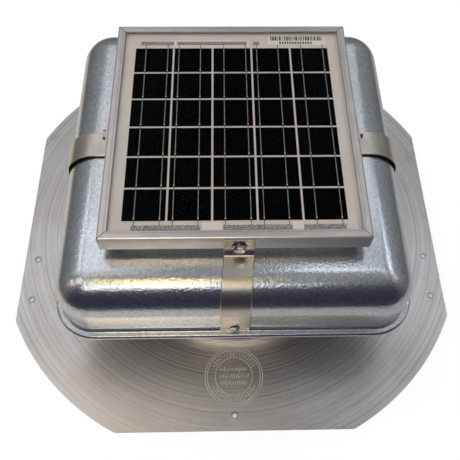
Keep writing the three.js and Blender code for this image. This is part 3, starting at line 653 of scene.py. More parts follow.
sheet = piece("flashing_sheet", flashing(), "spun_aluminium", replaces=["base_flashing"])
drilled(sheet, [(NAIL.hole, 0.01, shift((x, y, 0))) for x, y in NAILS])
for number, (x, y) in enumerate(NAILS):
    shell = moved(nail_dimple(), shift((x, y, 0)))
    # The dark steel finish on each hole's lip is painted shade.
    piece(f"nail_dimple_{number + 1}", shell, ["spun_aluminium", "magnet_steel"], "spun_aluminium")


def ridge(points, width, base, height, closed=False):
    """A low round-topped line of metal that follows a path on the flange."""
    rings = []
    count = len(points)
    for i, point in enumerate(points):
        before = points[(i - 1) % count] if closed or i else point
        after = points[(i + 1) % count] if closed or i + 1 < count else point
        along = (Vector(after) - Vector(before)).normalized()
        side = Vector((-along.y, along.x))
        ring = []
        for share, lift in ((-0.5, 0), (-0.3, 0.8), (0, 1), (0.3, 0.8), (0.5, 0)):
            spot = Vector(point) + side * width * share
            ring.append((spot.x, spot.y, base + height * lift))
        rings.append(ring)
    return skin(rings, closed=closed)


def stamped_mark():
    """A plain stamped roundel: three rings, a band of short dashes, and three rows of dashes inside."""
    base = FLANGE.sheet - 0.00015
    middle = Vector((0, MARK.y))
    shells = []

    def stroke(start, end):
        shells.append(ridge([start, end], MARK.ridge, base, MARK.height))

    for radius in (MARK.outer, MARK.second, MARK.inner):
        ring = [middle + Vector(polar(radius, angle)) for angle in around(96)]
        shells.append(ridge(ring, MARK.ridge, base, MARK.height, True))
    band = (MARK.second + MARK.inner) / 2
    for i in range(MARK.dashes):
        way = Vector(polar(1, TURN * (i + 0.5) / MARK.dashes))
        if abs(way.x) > 0.93:
            continue
        half = MARK.dash * rng.choice((0.6, 1.0, 1.0))
        stroke(middle + way * (band - half), middle + way * (band + half))
    for row in (-1, 0, 1):
        rise = row * MARK.row
        reach = math.sqrt(MARK.inner**2 - rise**2) - 0.006
        x = -reach
        while x < reach:
            half = MARK.dash * rng.choice((0.6, 0.9, 1.15))
            lean = rng.choice((-0.0008, 0.0, 0.0008))
            stroke(middle + Vector((x - lean, rise - half)), middle + Vector((x + lean, rise + half)))
            x += rng.choice((0.0024, 0.003, 0.0036))
    return join(*shells)


# The mark's ridges are finished near-white as a painted highlight.
piece("stamped_mark", stamped_mark(), "stamped_edge", "spun_aluminium", sharp=60)

# ---- hood ----


def hood_ring(inset, z):
    """A square with round corners, drawn in by `inset` from the hood's wall."""
    half = HOOD.half - inset
    radius = max(HOOD.corner - inset, 0.0005)
    middle = half - radius
    corner = [QUARTER * i / HOOD.corner_steps for i in range(HOOD.corner_steps)]
    spots = [Vector((middle, middle)) + Vector(polar(radius, angle)) for angle in corner]
    spots += [Vector((middle * (1 - 2 * i / HOOD.side_steps), half)) for i in range(HOOD.side_steps)]
    turns = [Matrix.Rotation(side * QUARTER, 2) for side in range(4)]
    return [(*(turn @ spot), z) for turn in turns for spot in spots]


def hood_levels(deep):
    """Insets and heights of one face of the sheet, from the top's middle down to the rim's fillet."""
    levels = [(inset, HOOD_TOP - deep) for inset in HOOD.top_insets]
    high, low = HOOD_TOP - HOOD.edge, HOOD.rim_top + HOOD.fillet
    for i in range(HOOD.edge_steps + 1):
        out, up = polar(HOOD.edge - deep, QUARTER - QUARTER * i / HOOD.edge_steps)
        levels.append((HOOD.edge - out, high + up))
    levels += [(deep, high + (low - high) * i / 6) for i in range(1, 6)]
    levels += [(deep - out, low + up) for up, out in HOOD_BEAD]
    for i in range(6):
        out, down = polar(HOOD.fillet + deep, QUARTER * i / 5)
        levels.append((out - HOOD.fillet, low - down))
    return levels


def hood_shell():
    """The sheet's outer face, its rolled rim and its inner face, with a slight waviness."""
    rim = []
    for radius in (HOOD.roll, HOOD.roll - HOOD.sheet):
        half = []
        for i in range(9):
            up, out = polar(radius, QUARTER * i / 8)
            half.append((HOOD.roll - HOOD.rim - out, HOOD.rim_top - HOOD.roll + up))
        half.append((half[-1][0], HOOD.rim_bottom))
        rim += half[::-1] if rim else half
    levels = hood_levels(0) + rim + hood_levels(HOOD.sheet)[::-1]
    points, faces = skin([hood_ring(inset, z) for inset, z in levels])
    wavy = []
    for point in points:
        dents, grain = noise.noise(point * 15) - 1, noise.noise(point * 40 + Vector((3, 1, 2))) - 1
        away = Vector((point.x, point.y, max(point.z - HOOD.turn_z, 0) * 2)).normalized()
        shaped = HOOD.rim_top + 0.001 <= point.z <= HOOD_TOP - 0.0015
        wavy.append(point + away * (dents * HOOD.dents + grain * HOOD.grain) if shaped else point)
    return wavy, faces


hood = piece("hood_shell", hood_shell(), "galvanised", replaces=["hood"])
grommet_low, grommet_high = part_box("grommet")
lead_spot = (grommet_low + grommet_high) / 2
hood_holes = [(HOOD.lead_hole, 0.012, shift(lead_spot))]
for side in SIDES:
    spot = shift((0, -HOOD.half, STRAP_SCREW.z)) @ spin(QUARTER, "X")
    hood_holes.append((HOOD.screw_hole, 0.006, side_matrix(side) @ spot))
drilled(hood, hood_holes)

# ---- fasteners ----


def hex_reach(angle, corner_radius):
    """How far a hexagon reaches at an angle, from the radius of its corners."""
    sixth = TURN / 6
    from_flat = (angle % sixth) - sixth / 2
    return corner_radius * math.cos(sixth / 2) / math.cos(from_flat)


def hex_head(size):
    """A head with its corners chamfered to a cone and a dished or plain top."""
    top = size.sheet + size.head
    flat = size.hex * 0.84
    levels = [size.sheet - 0.0002] + [top - size.head * share for share in (0.34, 0.26, 0.18, 0.1, 0.04, 0.0)]
    angles = around(60)
    rings = []
    for z in levels:
        limit = flat + (top - z) * 1.5
        rings.append([(*polar(min(hex_reach(angle, size.hex), limit), angle), z) for angle in angles])
    for share, drop in ((0.86, 0.0), (0.7, size.cup), (0.4, size.cup), (0.0005, size.cup)):
        rings.append([(*polar(flat * share, angle), top - drop) for angle in angles])
    return skin(rings)


def bolt(size):
    """A flange bolt that stands along +Z on a rubber ring, with a steel washer and a threaded shank."""
    wide, thick, soft = size.washer, size.ring, 0.0002
    ring = [(0, 0), (wide - soft, 0), (wide, soft), (wide, thick - soft), (wide - soft, thick), (0, thick)]
    edge, top = wide - size.ring_edge, size.sheet * 1.15
    washer = [(0, thick - 0.0001), (edge - soft, thick - 0.0001), (edge, thick + soft)]
    washer += [(edge, size.sheet * 0.7), (edge - 0.0004, size.sheet * 0.95), (size.hex * 0.9, top), (0, top)]
    radius, pitch, start = size.shank, THREAD.pitch, THREAD.start
    shank = [(0, 0.0001), (radius, 0.0001), (radius, -start)]
    for i in range(int((size.length - 0.003) / pitch)):
        z = -start - pitch * i
        shank += [(radius * THREAD.core, z - pitch * 0.5), (radius, z - pitch)]
    shank += [(radius * THREAD.point, -size.length), (0, -size.length)]
    steel = join(lathe(washer, 48, False), hex_head(size), lathe(shank, 28, False))
    return numbered([(steel, 0), (lathe(ring, 48, False), 1)])


def rivet():
    """A dome with its flat side at zero."""
    radius, height, seat = RIVET.radius, RIVET.height, RIVET.seat
    dome = [(0, -seat), (radius, -seat), (radius, 0)]
    for i in range(1, 6):
        out, up = polar(1, QUARTER * i / 6)
        dome.append((radius * out, height * up))
    return lathe(dome + [(0, height)], 28, False)


def pan_screw(size):
    """A low screw head that faces down, with a round socket."""
    radius, seat, slot = size.radius, size.seat, size.slot
    crown, floor = -size.edge - 0.0005, -0.0006
    profile = [(0, seat), (radius, seat), (radius, -size.edge), (radius - 0.0006, crown)]
    return lathe(profile + [(slot + 0.0001, crown), (slot, floor), (0, floor)], 24, False)


def strap_line(side, bend_steps=14):
    """A strap's centre line, and how far out its inner and outer uprights stand."""
    low, high = local_box(f"panel_strap_{side}", side)
    half = STRAP.sheet / 2
    inner, outer = -high.y + half, -low.y - half
    run = HOOD_TOP + STRAP.lift + half
    corners = [(inner, high.z - 0.001), (inner, run), (outer, run), (outer, low.z)]
    return bent_line(corners, [STRAP.bend, STRAP.shoulder], bend_steps), inner, outer


def strap(side, skew):
    """One strap, its bolt into the panel and its screw into the hood; `skew` shifts its inner end."""
    marks, inner, outer = strap_line(side)
    points, faces = strip(marks, STRAP.width, STRAP.sheet)
    shaped = []
    for point in points:
        inwards = min(max((outer + point.y) / (outer - inner), 0), 1)
        shaped.append(point + Vector((skew * inwards, 0, 0)))
    turn = side_matrix(side)
    replaces = [f"panel_strap_{side}"]
    piece(f"strap_{side}", moved((shaped, faces), turn), "zinc_strap", replaces=replaces, sharp=20)
    face = STRAP.sheet / 2 + GAP
    lean = rng.uniform(0, TURN / 6)
    for kind, node, size, x, y, turned in (
        ("flange_bolt", "panel_bolt", PANEL_BOLT, skew, -inner - face, lean),
        ("washer_screw", "strap_screw", STRAP_SCREW, 0, -outer - face, lean + 0.4),
    ):
        upright = spin(QUARTER, "X") @ spin(turned, "Z")
        shell = moved(bolt(size), turn @ shift((x, y, size.z)) @ upright)
        replaces = [f"{node}_{side}"]
        piece(f"{kind}_{side}", shell, ["bolt_steel", "rubber"], "bolt_steel", replaces=replaces, sharp=25)
    refine(f"panel_nut_{side}", "bolt_steel")


for side in SIDES:
    strap(side, STRAP.skew if side == "front" else 0)

# ---- panel ----

back_low, back_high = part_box("panel_backsheet")


def frame_outline(bottom, top):
    """The extrusion's section, as (inwards, z): wall, round outer edge, grooved lip, ledge and foot."""
    wall, lip, round_edge, turn = PANEL.wall, PANEL.lip, PANEL.round, PANEL.turn
    foot, ledge, slope = PANEL.foot, PANEL.ledge, PANEL.slope
    ledge_top = back_low.z - GAP
    ledge_under = ledge_top - PANEL.ledge_sheet
    outline = [(0.0004, bottom), (foot - 0.0003, bottom), (foot, bottom + 0.0003), (foot, bottom + wall)]
    outline += [(wall, bottom + wall), (wall, ledge_under), (ledge, ledge_under), (ledge, ledge_top)]
    outline += [(wall, ledge_top), (wall, top - wall), (lip, top - wall), (lip, top - 0.0005)]
    outline += [(lip - 0.0005, top), (lip - 0.0022, top), (lip - 0.0026, top - 0.0003)]
    outline += [(lip - 0.0034, top - 0.0003), (lip - 0.0038, top), (slope, top)]
    slope_end = round_edge * (1 - math.sin(turn))
    edge_top = top - (slope - slope_end) * math.tan(turn) + round_edge * (1 - math.cos(turn))
    for i in range(PANEL.round_steps + 1):
        up, out = polar(round_edge, turn + (QUARTER - turn) * i / PANEL.round_steps)
        outline.append((round_edge - out, edge_top - round_edge + up))
    outline.append((0.0, bottom + 0.0004))
    return outline


def frame_bar(side):
    """One bar of the panel's frame, mitred at both ends, with a painted highlight on its round outer edge."""
    low, high = local_box(f"panel_frame_{side}", side)
    middle, half = (low.x + high.x) / 2, (high.x - low.x) / 2
    steps = 12
    outline = frame_outline(low.z, high.z)
    rings = []
    for i in range(steps + 1):
        share = 2 * i / steps - 1
        ends = [(share * (half - inwards - PANEL.mitre_gap), inwards, z) for inwards, z in outline]
        rings.append([(middle + x, low.y + inwards, z) for x, inwards, z in ends])
    points, faces = moved(skin(rings), side_matrix(side))
    first = len(outline) - PANEL.round_steps - 3
    # The faces of the round outer edge take the painted highlight finish.
    highlight_band = range(first, first + PANEL.round_steps)
    numbers = [int(len(face) == 4 and i % len(outline) in highlight_band) for i, face in enumerate(faces)]
    return points, faces, numbers


for side in SIDES:
    finishes = ["anodised_x" if side in ("front", "back") else "anodised_y", "painted_highlight_edge"]
    bar = frame_bar(side)
    piece(f"frame_bar_{side}", bar, finishes, "anodised", replaces=[f"panel_frame_{side}"], sharp=20)
refine("panel_glass", "solar_glass", 0.0003)
refine("panel_backsheet", "backsheet", 0.0001)


def ribbon_shells(x, low, high, rows):
    """One ribbon along a string, with a raised run and a solder spot on each cell."""
    half, wide = RIBBON.width / 2, RIBBON.solder / 2
    base = low.z + CELL.sheet
    top = base + RIBBON.sheet
    # The full-length ribbon under the runs shows only in the dips, in the painted shade finish.
    shells = [(slab((x - half, low.y, base - 0.0001), (x + half, high.y, top), 0.00005), 2)]
    top += 0.00005
    for y in rows:
        y0, y1 = y - CELL.depth / 2 + RIBBON.dip, y + CELL.depth / 2 - RIBBON.dip
        shells.append((slab((x - half, y0, base), (x + half, y1, top), 0.00004), 1))
        solder_end = (x + wide, y0 + RIBBON.solder_length, top + 0.00004)
        shells.append((slab((x - wide, y0, base), solder_end, 0.00004), 3))
    return shells


def cell_string(low, high, ribbons):
    """A column of cells with its two ribbons, numbered by finish."""
    middle = (low.y + high.y) / 2
    pitch = CELL.depth + CELL.space
    rows = [middle + (row - (CELL.rows - 1) / 2) * pitch for row in range(CELL.rows)]
    shells = []
    for y in rows:
        start = (low.x, y - CELL.depth / 2, low.z)
        end = (low.x + CELL.width, y + CELL.depth / 2, low.z + CELL.sheet)
        shells.append((slab(start, end, 0.0001), 0))
    for x in ribbons:
        shells += ribbon_shells(x, low, high, rows)
    return numbered(shells)


ribbon_spots = []
for column in range(5):
    low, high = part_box(f"cell_string_{column + 1}")
    ribbons = [low.x + share * CELL.width for share in RIBBON_PLACES[column % 2]]
    ribbon_spots += ribbons
    string = cell_string(low, high, ribbons)
    finishes = ["cell_silicon", "ribbon", "ribbon_dip_shade", "solder"]
    piece(f"cells_{column + 1}", string, finishes, "cell_silicon", replaces=[f"cell_string_{column + 1}"])


def flat_strips(spots, depth, under, over, soft):
    """Thin strips on the backsheet, each (first x, last x, middle y)."""
    shells = []
    for x0, x1, y in spots:
        start = (x0, y - depth / 2, back_high.z - under)
        shells.append(slab(start, (x1, y + depth / 2, back_high.z + over), soft))
    return join(*shells)


low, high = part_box("cell_string_1")
back_bus, front_bus = high.y + 0.0027, low.y - 0.0022
for name, y, groups in (
    # (first ribbon, last ribbon, reach before the first, reach after the last)
    ("back", back_bus, [(0, 1, 0.008, 0.008), (2, 5, 0.0035, 0.002), (6, 6, 0.0045, 0.0045)]),
    ("front", front_bus, [(0, 3, 0.003, 0.003), (4, 7, 0.003, 0.003), (8, 9, 0.016, 0.004)]),
):
    runs = [(ribbon_spots[a] - before, ribbon_spots[b] + after, y) for a, b, before, after in groups]
    shell = flat_strips(runs, BUS.width, 0, BUS.sheet, 0.00005)
    piece(f"bus_ribbon_{name}", shell, "bus", "cell_silicon")

# Paler insulating film shows beside and under the bus ribbons.
back_film = [(ribbon_spots[1] + 0.006, ribbon_spots[5] + 0.006, back_bus)]
front_film = [
    (ribbon_spots[3] + 0.005, ribbon_spots[4] - 0.004, front_bus),
    (ribbon_spots[7] + 0.004, ribbon_spots[8] - 0.0165, front_bus),
]
widths = ((back_film, 0.0115), (front_film, 0.013))
film = [flat_strips(spots, depth, 0.00002, 0.00008, 0.00003) for spots, depth in widths]
piece("bus_film", join(*film), "film", "backsheet")


def label_bars():
    """A sticker under the glass: plain upright bars of uneven width over a row of short dashes."""
    high_edge = back_high.y - LABEL.edge
    low_edge = high_edge - LABEL.depth
    face = back_high.z + 0.00035
    x0, x1 = LABEL.x, LABEL.x + LABEL.length
    shells = [(slab((x0, low_edge, back_high.z), (x1, high_edge, face), 0.00004), 0)]

    def mark(x, width, low_y, high_y):
        shells.append((slab((x, low_y, face - 0.00002), (x + width, high_y, face + 0.00004)), 1))

    here = x0 + 0.0035
    while here < x1 - 0.006:
        width = rng.choice((0.0011, 0.0017, 0.0026))
        mark(here, width, high_edge - 0.009, high_edge - 0.0012)
        here += width + rng.choice((0.0009, 0.0013, 0.0018))
    here = x0 + 0.016
    while here < x1 - 0.02:
        mark(here, 0.0024, low_edge + 0.0012, low_edge + 0.0054)
        here += 0.0037
    return numbered(shells)


piece("panel_label", label_bars(), ["label", "ink"], "backsheet")

# ---- junction box and lead ----

refine("junction_box", "black_plastic", 0.0012)
refine("junction_box_lid", "black_plastic", 0.0006)
refine("cable_gland", "black_plastic", 0.0003)
lid_low, lid_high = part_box("junction_box_lid")
lid_middle = Vector(((lid_low.x + lid_high.x) / 2, (lid_low.y + lid_high.y) / 2, lid_low.z))
for number, (sx, sy) in enumerate(SQUARE):
    spot = shift(lid_middle + Vector((sx * LID_SCREW.x, sy * LID_SCREW.y, 0)))
    piece(f"lid_screw_{number + 1}", moved(pan_screw(LID_SCREW), spot), "bolt_steel")


def lead_path(low, high, radius):
    """Level from the gland, a bend through the grommet, then straight down into the motor."""
    y, z = low.y + radius, high.z - radius
    path = [(high.y - (high.y - y - LEAD_BEND) * i / 4, z) for i in range(4)]
    path += [(y + LEAD_BEND * (1 - i / 12) ** 2, z - LEAD_BEND * (i / 12) ** 2) for i in range(13)]
    path += [(y, z - LEAD_BEND - (z - LEAD_BEND - low.z) * i / 6) for i in range(1, 7)]
    return [Vector((0, *spot)) for spot in path]


def tube(path, radius, segments=18):
    """A round tube along a path that lies in one plane across X."""
    rings = []
    for i, point in enumerate(path):
        along = (path[min(i + 1, len(path) - 1)] - path[max(i - 1, 0)]).normalized()
        side = Vector((1, 0, 0))
        up = side.cross(along)
        spots = [polar(radius, angle) for angle in around(segments)]
        rings.append([point + side * x + up * y for x, y in spots])
    return skin(rings)


low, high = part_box("motor_lead")
lead_radius = (high.x - low.x) / 2
lead = tube(lead_path(low, high, lead_radius), lead_radius)
piece("lead", lead, "rubber", replaces=["motor_lead"])


def grommet(bottom, top, outer):
    """A rubber ring with a groove for the hood's sheet."""
    soft, bore, groove, flange = 0.0004, 0.0029, 0.006, 0.0016
    near = outer - 0.001
    profile = [(bore, bottom + soft), (bore + soft, bottom), (near, bottom), (outer, bottom + 0.001)]
    profile += [(outer, bottom + flange), (groove, bottom + flange), (groove, top - flange)]
    profile += [(outer, top - flange), (outer, top - 0.001), (near, top), (bore + soft, top)]
    return lathe(profile + [(bore, top - soft)], 40)


shell = grommet(grommet_low.z, grommet_high.z, (grommet_high.x - grommet_low.x) / 2)
spot = shift((lead_spot.x, lead_spot.y, 0))
piece("hood_grommet", moved(shell, spot), "rubber", replaces=["grommet"])

# ---- brackets, screen and motor ----


def rivet_pair(name, side, size, y, facing):
    """Two rivets side by side at one side of the throat."""
    for number, x in enumerate((-size.x, size.x)):
        upright = spin(facing * QUARTER, "X")
        spot = side_matrix(side) @ shift((x, y, size.z)) @ upright
        piece(f"{name}_{side}_{number + 1}", moved(rivet(), spot), "bolt_steel")


refine("motor_bracket", "galvanised", 0.0004)
for side in SIDES:
    refine(f"hood_bracket_{side}", "galvanised", 0.0003)
    high = local_box(f"hood_bracket_{side}", side)[1]
    rivet_pair("bracket_rivet", side, BRACKET_RIVETS, high.y - BRACKET_RIVETS.sheet, 1)
low = local_box("motor_bracket", "front")[0]
for side in SIDES:
    rivet_pair("arm_rivet", side, ARM_RIVETS, low.y + ARM_RIVETS.sheet, -1)


def wire(points, closed=False):
    """A square-sectioned wire of the insect screen: an upright, or a closed hoop."""
    rings = []
    for point in points:
        out = Vector((point[0], point[1], 0)).normalized() * SCREEN.wire
        side = Vector((0, 0, SCREEN.wire)) if closed else Vector((-out.y, out.x, 0))
        rings.append([Vector(point) + way for way in (out, side, -out, -side)])
    return skin(rings, closed=closed)


def insect_mesh():
    """Two rails round the throat, with upright wires and hoops between them."""
    low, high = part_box("insect_screen")
    radius, rail = SCREEN.radius, SCREEN.rail
    outer, inner, soft = (high.x - low.x) / 2, radius - 0.0004, 0.0003
    shells = []
    for z in (low.z, high.z - rail):
        profile = [(inner, z), (outer - soft, z), (outer, z + soft), (outer, z + rail - soft)]
        shells.append(lathe(profile + [(outer - soft, z + rail), (inner, z + rail)], 120))
    bottom, top = low.z + rail / 2, high.z - rail / 2
    for angle in around(SCREEN.uprights):
        spot = polar(radius, angle)
        shells.append(wire([(*spot, bottom), (*spot, top)]))
    spaces = SCREEN.hoops + 1
    for i in range(1, spaces):
        z = bottom + (top - bottom) * i / spaces
        shells.append(wire([(*polar(radius, angle), z) for angle in around(SCREEN.hoop_steps)], True))
    return join(*shells)


piece("insect_mesh", insect_mesh(), "galvanised", replaces=["insect_screen"])


def motor_shell(low, high, radius):
    """The can: grooved outside, closed at the top round the rear bearing's seat, open below."""
    seat, cap, groove = MOTOR.seat, high - MOTOR.cap, MOTOR.groove
    outer_seat, floor, wall = seat + MOTOR.seat_wall, high - MOTOR.seat_depth, radius - MOTOR.wall
    profile = [(radius, low)]
    for place in MOTOR.grooves:
        z = low + place
        profile += [(radius, z - groove), (radius - 0.0008, z), (radius, z + groove)]
    profile += [(radius, high - 0.002), (radius - 0.0006, high - 0.0006), (radius - 0.002, high)]
    profile += [(seat, high), (seat, floor), (outer_seat, floor), (outer_seat, cap), (wall, cap), (wall, low)]
    return lathe(profile, 96)


def motor_cap(bottom, plate, radius):
    """The end cap below: a collar, a raised rib, and the front bearing's seat inside."""
    seat, cap, bore, soft = MOTOR.seat, plate + MOTOR.cap, MOTOR.bore, 0.0008
    outer_seat, floor = seat + MOTOR.seat_wall, plate + MOTOR.seat_depth
    collar = outer_seat + 0.002
    profile = [(bore, bottom), (collar - soft, bottom), (collar, bottom + soft), (collar, plate)]
    profile += [(radius - 0.007, plate), (radius - 0.006, plate + 0.0006), (radius - 0.0012, plate)]
    profile += [(radius, plate + 0.0012), (radius, cap), (outer_seat, cap), (outer_seat, floor)]
    return lathe(profile + [(seat, floor), (seat, plate), (bore, plate)], 96)


can_low, can_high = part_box("motor_can")
can_radius = (can_high.x - can_low.x) / 2
can = motor_shell(can_low.z, can_high.z, can_radius)
piece("motor_shell", can, "motor_paint", replaces=["motor_can"])
cap_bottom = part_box("motor_end_cap")[0].z
plate = cap_bottom + 0.002
cap = motor_cap(cap_bottom, plate, can_radius)
piece("motor_cap", cap, "motor_paint", replaces=["motor_end_cap"])
for number in range(3):
    spot = shift((*polar(MOTOR.screws, TURN * (number + 0.25) / 3), plate))
    piece(f"cap_screw_{number + 1}", moved(pan_screw(CAP_SCREW), spot), "bolt_steel")
for node in ("rear_bearing", "front_bearing", "motor_screw_1", "motor_screw_2", "set_screw"):
    refine(node, "bolt_steel", 0.0003)
for node in ("stator", "rotor_magnet"):
    refine(node, "magnet_steel", 0.0003)
refine("controller_board", "circuit_board", 0.0003)

# ---- rotor ----


def rod(low, high, radius, soft):
    """A round bar along Z with softened ends."""
    profile = [(0, low), (radius - soft, low), (radius, low + soft), (radius, high - soft)]
    return lathe(profile + [(radius - soft, high), (0, high)], 40, False)


low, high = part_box("motor_shaft")
shaft = rod(low.z, high.z, (high.y - low.y) / 2, 0.0006)
piece("shaft", shaft, "bolt_steel", body="rotor", replaces=["motor_shaft"])


def blade_point(share, offset, lift):
    """A point of a blade: its share of the way to the tip, -1 to 1 across, and its height off the middle."""
    radius = BLADE.root + (BLADE.tip - BLADE.root) * share
    chord = BLADE.root_chord + (BLADE.tip_chord - BLADE.root_chord) * math.sin(QUARTER * share)
    across = chord * offset
    t = min(max((share - 0.25) / 0.75, 0), 1)
    twist = t * t * (3 - 2 * t)
    pitch = BLADE.root_pitch + (BLADE.tip_pitch - BLADE.root_pitch) * twist
    camber = BLADE.camber * share * share * (1 - offset**2)
    z = BLADE.plane - across * math.tan(pitch) + camber + lift
    angle = across / radius
    return *polar(radius, angle), z


def blade_shell():
    """A twisted, cambered sheet with round tip corners and a stiffening swage along its middle."""
    along, across = 36, 28
    corner, span = BLADE.corner, BLADE.tip - BLADE.root

    def spot(i, j, face):
        offset = 2 * j / across - 1
        shortage = max(corner - (1 - abs(offset)) * BLADE.tip_chord, 0)
        cut = corner - math.sqrt(max(corner**2 - shortage**2, 0))
        share = i / along * (1 - cut / span)
        middle = math.exp(-((offset / BLADE.swage_width) ** 2))
        swage = BLADE.swage * middle * math.sin(math.pi * min(max((share - 0.3) / 0.6, 0), 1))
        return blade_point(share, offset, face * BLADE.sheet / 2 + swage)

    rows = []
    for i in range(along + 1):
        over = [spot(i, j, 1) for j in range(across + 1)]
        under = [spot(i, j, -1) for j in range(across, -1, -1)]
        rows.append(over + under)
    points, faces = skin(rows, caps=False)
    last = len(rows[0]) - 1
    for start in (0, along * len(rows[0])):
        faces += [tuple(start + k for k in (j, j + 1, last - j - 1, last - j)) for j in range(across)]
    return points, faces


def on_blade(number):
    """Where a blade's own plane lies, with its root tilted to its pitch."""
    tilt = spin(-BLADE.root_pitch, "X")
    turn = spin(TURN * number / BLADES, "Z")
    return turn @ shift((0, 0, BLADE.plane)) @ tilt


def hub_shell():
    """The boss on the shaft and the five sloping arms that the blades are riveted to."""
    bore, radius, bottom, top, soft = HUB.bore, HUB.radius, HUB.bottom, HUB.top, 0.0008
    boss = [(bore, bottom), (radius - soft, bottom), (radius, bottom + soft), (radius, top - soft)]
    shells = [lathe(boss + [(radius - soft, top), (bore, top)])]
    low = (radius - 0.0015, -HUB.arm / 2, -HUB.drop - HUB.arm_sheet / 2)
    high = (HUB.reach, HUB.arm / 2, -HUB.drop + HUB.arm_sheet / 2)
    shells += [moved(slab(low, high, 0.0006), on_blade(number)) for number in range(BLADES)]
    return join(*shells)


def blade_rivets(number):
    """Three rivets through a blade and its arm, with a head on both faces."""
    under, over = -HUB.drop - HUB.arm_sheet / 2, BLADE.sheet / 2 + 0.0004
    heads = []
    for x, y in BLADE_RIVETS:
        for lift, flip in ((under, math.pi), (over, 0.0)):
            upright = shift((x, y, lift)) @ spin(flip, "X")
            heads.append(moved(rivet(), on_blade(number) @ upright))
    return join(*heads)


blade = blade_shell()
for number in range(BLADES):
    shell = moved(blade, spin(TURN * number / BLADES, "Z"))
    replaces = [f"fan_blade_{number + 1}"]
    piece(f"blade_{number + 1}", shell, "blade_aluminium", body="rotor", replaces=replaces, sharp=50)
    piece(f"blade_rivets_{number + 1}", blade_rivets(number), "bolt_steel", body="rotor")
piece("hub", hub_shell(), "bolt_steel", body="rotor", replaces=["fan_hub"])

# ---- floor, lights and surroundings ----


def stage_square(name, middle, half, z, colour, glow):
    """A flat square that is part of the stage, glowing a little so that it stays pale."""
    x, y = middle
    corners = [(x + sx * half, y + sy * half, z) for sx, sy in SQUARE]
    mesh = bpy.data.meshes.new(name)
    mesh.from_pydata(corners, [], [(0, 1, 2, 3)])
    made = linked(name, mesh)
    surface = Finish(name, Roughness=0.9, Emission_Color=(1.0, 1.0, 1.0), Emission_Strength=glow)
    cloud = surface.span(surface.noise(3, 3), 0.3, 0.7)
    surface.set(Base_Color=surface.blend(cloud, colour, tuple(0.97 * c for c in colour)))
    mesh.materials.append(surface.material)
    return made


stage_square("floor", (0, 0), 3.0, 0, (0.85, 0.85, 0.85), 0.67).visible_glossy = False
# Dim grey glowing squares under the nail holes: painted shade, the roof seen in shadow through each hole.
for number, place in enumerate(NAILS):
    stage_square(f"painted_shade_spot_{number + 1}", place, 0.004, 0.0001, (0.2, 0.2, 0.2), 0.48)


def soft_box(name, place, target, size, radiance, colour, spread=180):
    """A soft studio light that the camera doesn't see; its power follows from how bright its face is."""
    data = bpy.data.lights.new(name, "AREA")
    data.shape = "RECTANGLE"
    data.size, data.size_y = size
    data.energy = radiance * math.pi * size[0] * size[1]
    data.color = colour
    data.spread = math.radians(spread)
    made = linked(name, data)
    way = (Vector(target) - Vector(place)).normalized()
    made.matrix_world = shift(place) @ way.to_track_quat("-Z", "Y").to_matrix().to_4x4()
    made.visible_camera = False


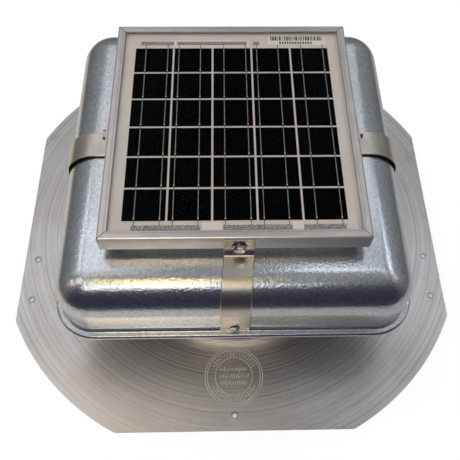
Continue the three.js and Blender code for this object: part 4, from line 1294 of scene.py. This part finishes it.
# name, place, target, size, radiance, colour, spread if it isn't 180 degrees
LIGHTS = [
    ("warm_front", (-0.43, -1.33, 3.5), (-0.43, -0.19, 0.2), (0.8, 0.5), 4.4, (1.0, 0.78, 0.33)),
    ("front", (-0.6, -2.26, 3.5), (-0.6, -0.19, 0.2), (1.3, 0.75), 2.9, (0.97, 1.0, 0.97)),
    ("front_end", (-2.1, -0.95, 3.5), (-2.1, -0.19, 0.2), (1.5, 1.0), 1.15, (0.93, 0.98, 1.0)),
    ("front_right", (0.17, -0.87, 1.36), (0.17, -0.1, 0.1), (0.26, 0.05), 3.0, (0.8, 0.92, 1.0)),
    ("left_window", (-0.8, 0.5, 1.55), (-0.1, 0, 0.1), (1.1, 1.1), 0.4, (1.0, 0.98, 0.96)),
    ("left_ceiling", (-0.57, 0.42, 1.64), (-0.19, -0.19, 0.2), (0.36, 0.4), 0.72, (0.9, 0.96, 1.0)),
    ("left_back_ceiling", (-0.45, 1.3, 1.7), (-0.19, 0.15, 0.2), (0.6, 0.9), 0.5, (0.95, 0.98, 1.0)),
    ("left_strip", (-1.04, 0.45, 1.33), (-0.19, -0.12, 0.2), (0.5, 0.06), 3.6, (0.86, 0.93, 1.0)),
    ("left_lamp", (-1.3, -0.42, 1.03), (-0.2, -0.2, 0.2), (0.36, 0.36), 1.3, (1.0, 0.7, 0.5)),
    ("left_low_ceiling", (-0.44, -0.05, 1.6), (-0.15, -0.3, 0), (0.36, 0.14), 1.0, (1.0, 0.9, 0.8)),
    ("right_low_ceiling", (0.62, -0.02, 1.6), (0.2, -0.27, 0), (0.5, 0.16), 0.75, (0.97, 0.99, 1.0)),
    ("right_ceiling", (0.37, 0.18, 1.6), (0.37, -0.18, 0.2), (0.26, 0.34), 1.5, (0.88, 0.95, 1.0)),
    ("right_ceiling_far", (0.66, 0.7, 1.6), (0.14, -0.1, 0.2), (0.3, 0.35), 0.75, (0.88, 0.95, 1.0)),
    ("right_back_ceiling", (0.6, 1.3, 1.7), (0.19, 0.15, 0.2), (0.6, 0.9), 0.45, (0.92, 0.97, 1.0)),
    ("right_strip", (1.02, 0.45, 1.33), (0.19, -0.12, 0.2), (0.5, 0.07), 4.0, (0.86, 0.93, 1.0)),
    ("right_corner", (1.15, 0.1, 1.32), (0.19, -0.18, 0.22), (0.6, 0.12), 2.6, (0.86, 0.93, 1.0)),
    ("right_lamp", (1.27, -0.33, 1.1), (0.19, -0.19, 0.22), (0.2, 0.2), 1.9, (1.0, 0.72, 0.52)),
    ("front_glow", (0.01, -0.2395, 0.122), (0.01, -0.2, 0), (0.14, 0.008), 0.28, (1.0, 0.8, 0.62), 50),
    ("front_bounce", (-0.11, -0.3, 0.012), (-0.11, -0.227, 0.165), (0.25, 0.05), 0.6, (1.0, 0.9, 0.76)),
    ("under_panel", (0, 0, 0.243), (0, 0, 0), (0.29, 0.29), 0.3, (0.9, 1.0, 0.95)),
]
for light in LIGHTS:
    soft_box(*light)


def surroundings():
    """A room: pale above and behind, dark blue in front, and the lit ground below, warmer to the left."""
    world = bpy.data.worlds.new("room")
    scene.world = world
    world.use_nodes = True
    f = Nodes(world.node_tree, "Generated")
    height = f.blend(f.span(f.axis("Z"), -0.3, 0.6), (0.13, 0.125, 0.12), (0.29, 0.30, 0.32))
    room = f.blend(f.span(f.axis("Y"), -0.2, -0.6), height, (0.038, 0.038, 0.065))
    ground = f.blend(f.span(f.axis("X"), 0.2, -0.2), (0.48, 0.48, 0.47), (0.7, 0.66, 0.6))
    whole = f.blend(f.span(f.axis("Z"), -0.3, -0.37), room, ground)
    f.put(f.tree.nodes["Background"].inputs["Color"], whole)


surroundings()
scene.view_settings.view_transform = "Standard"
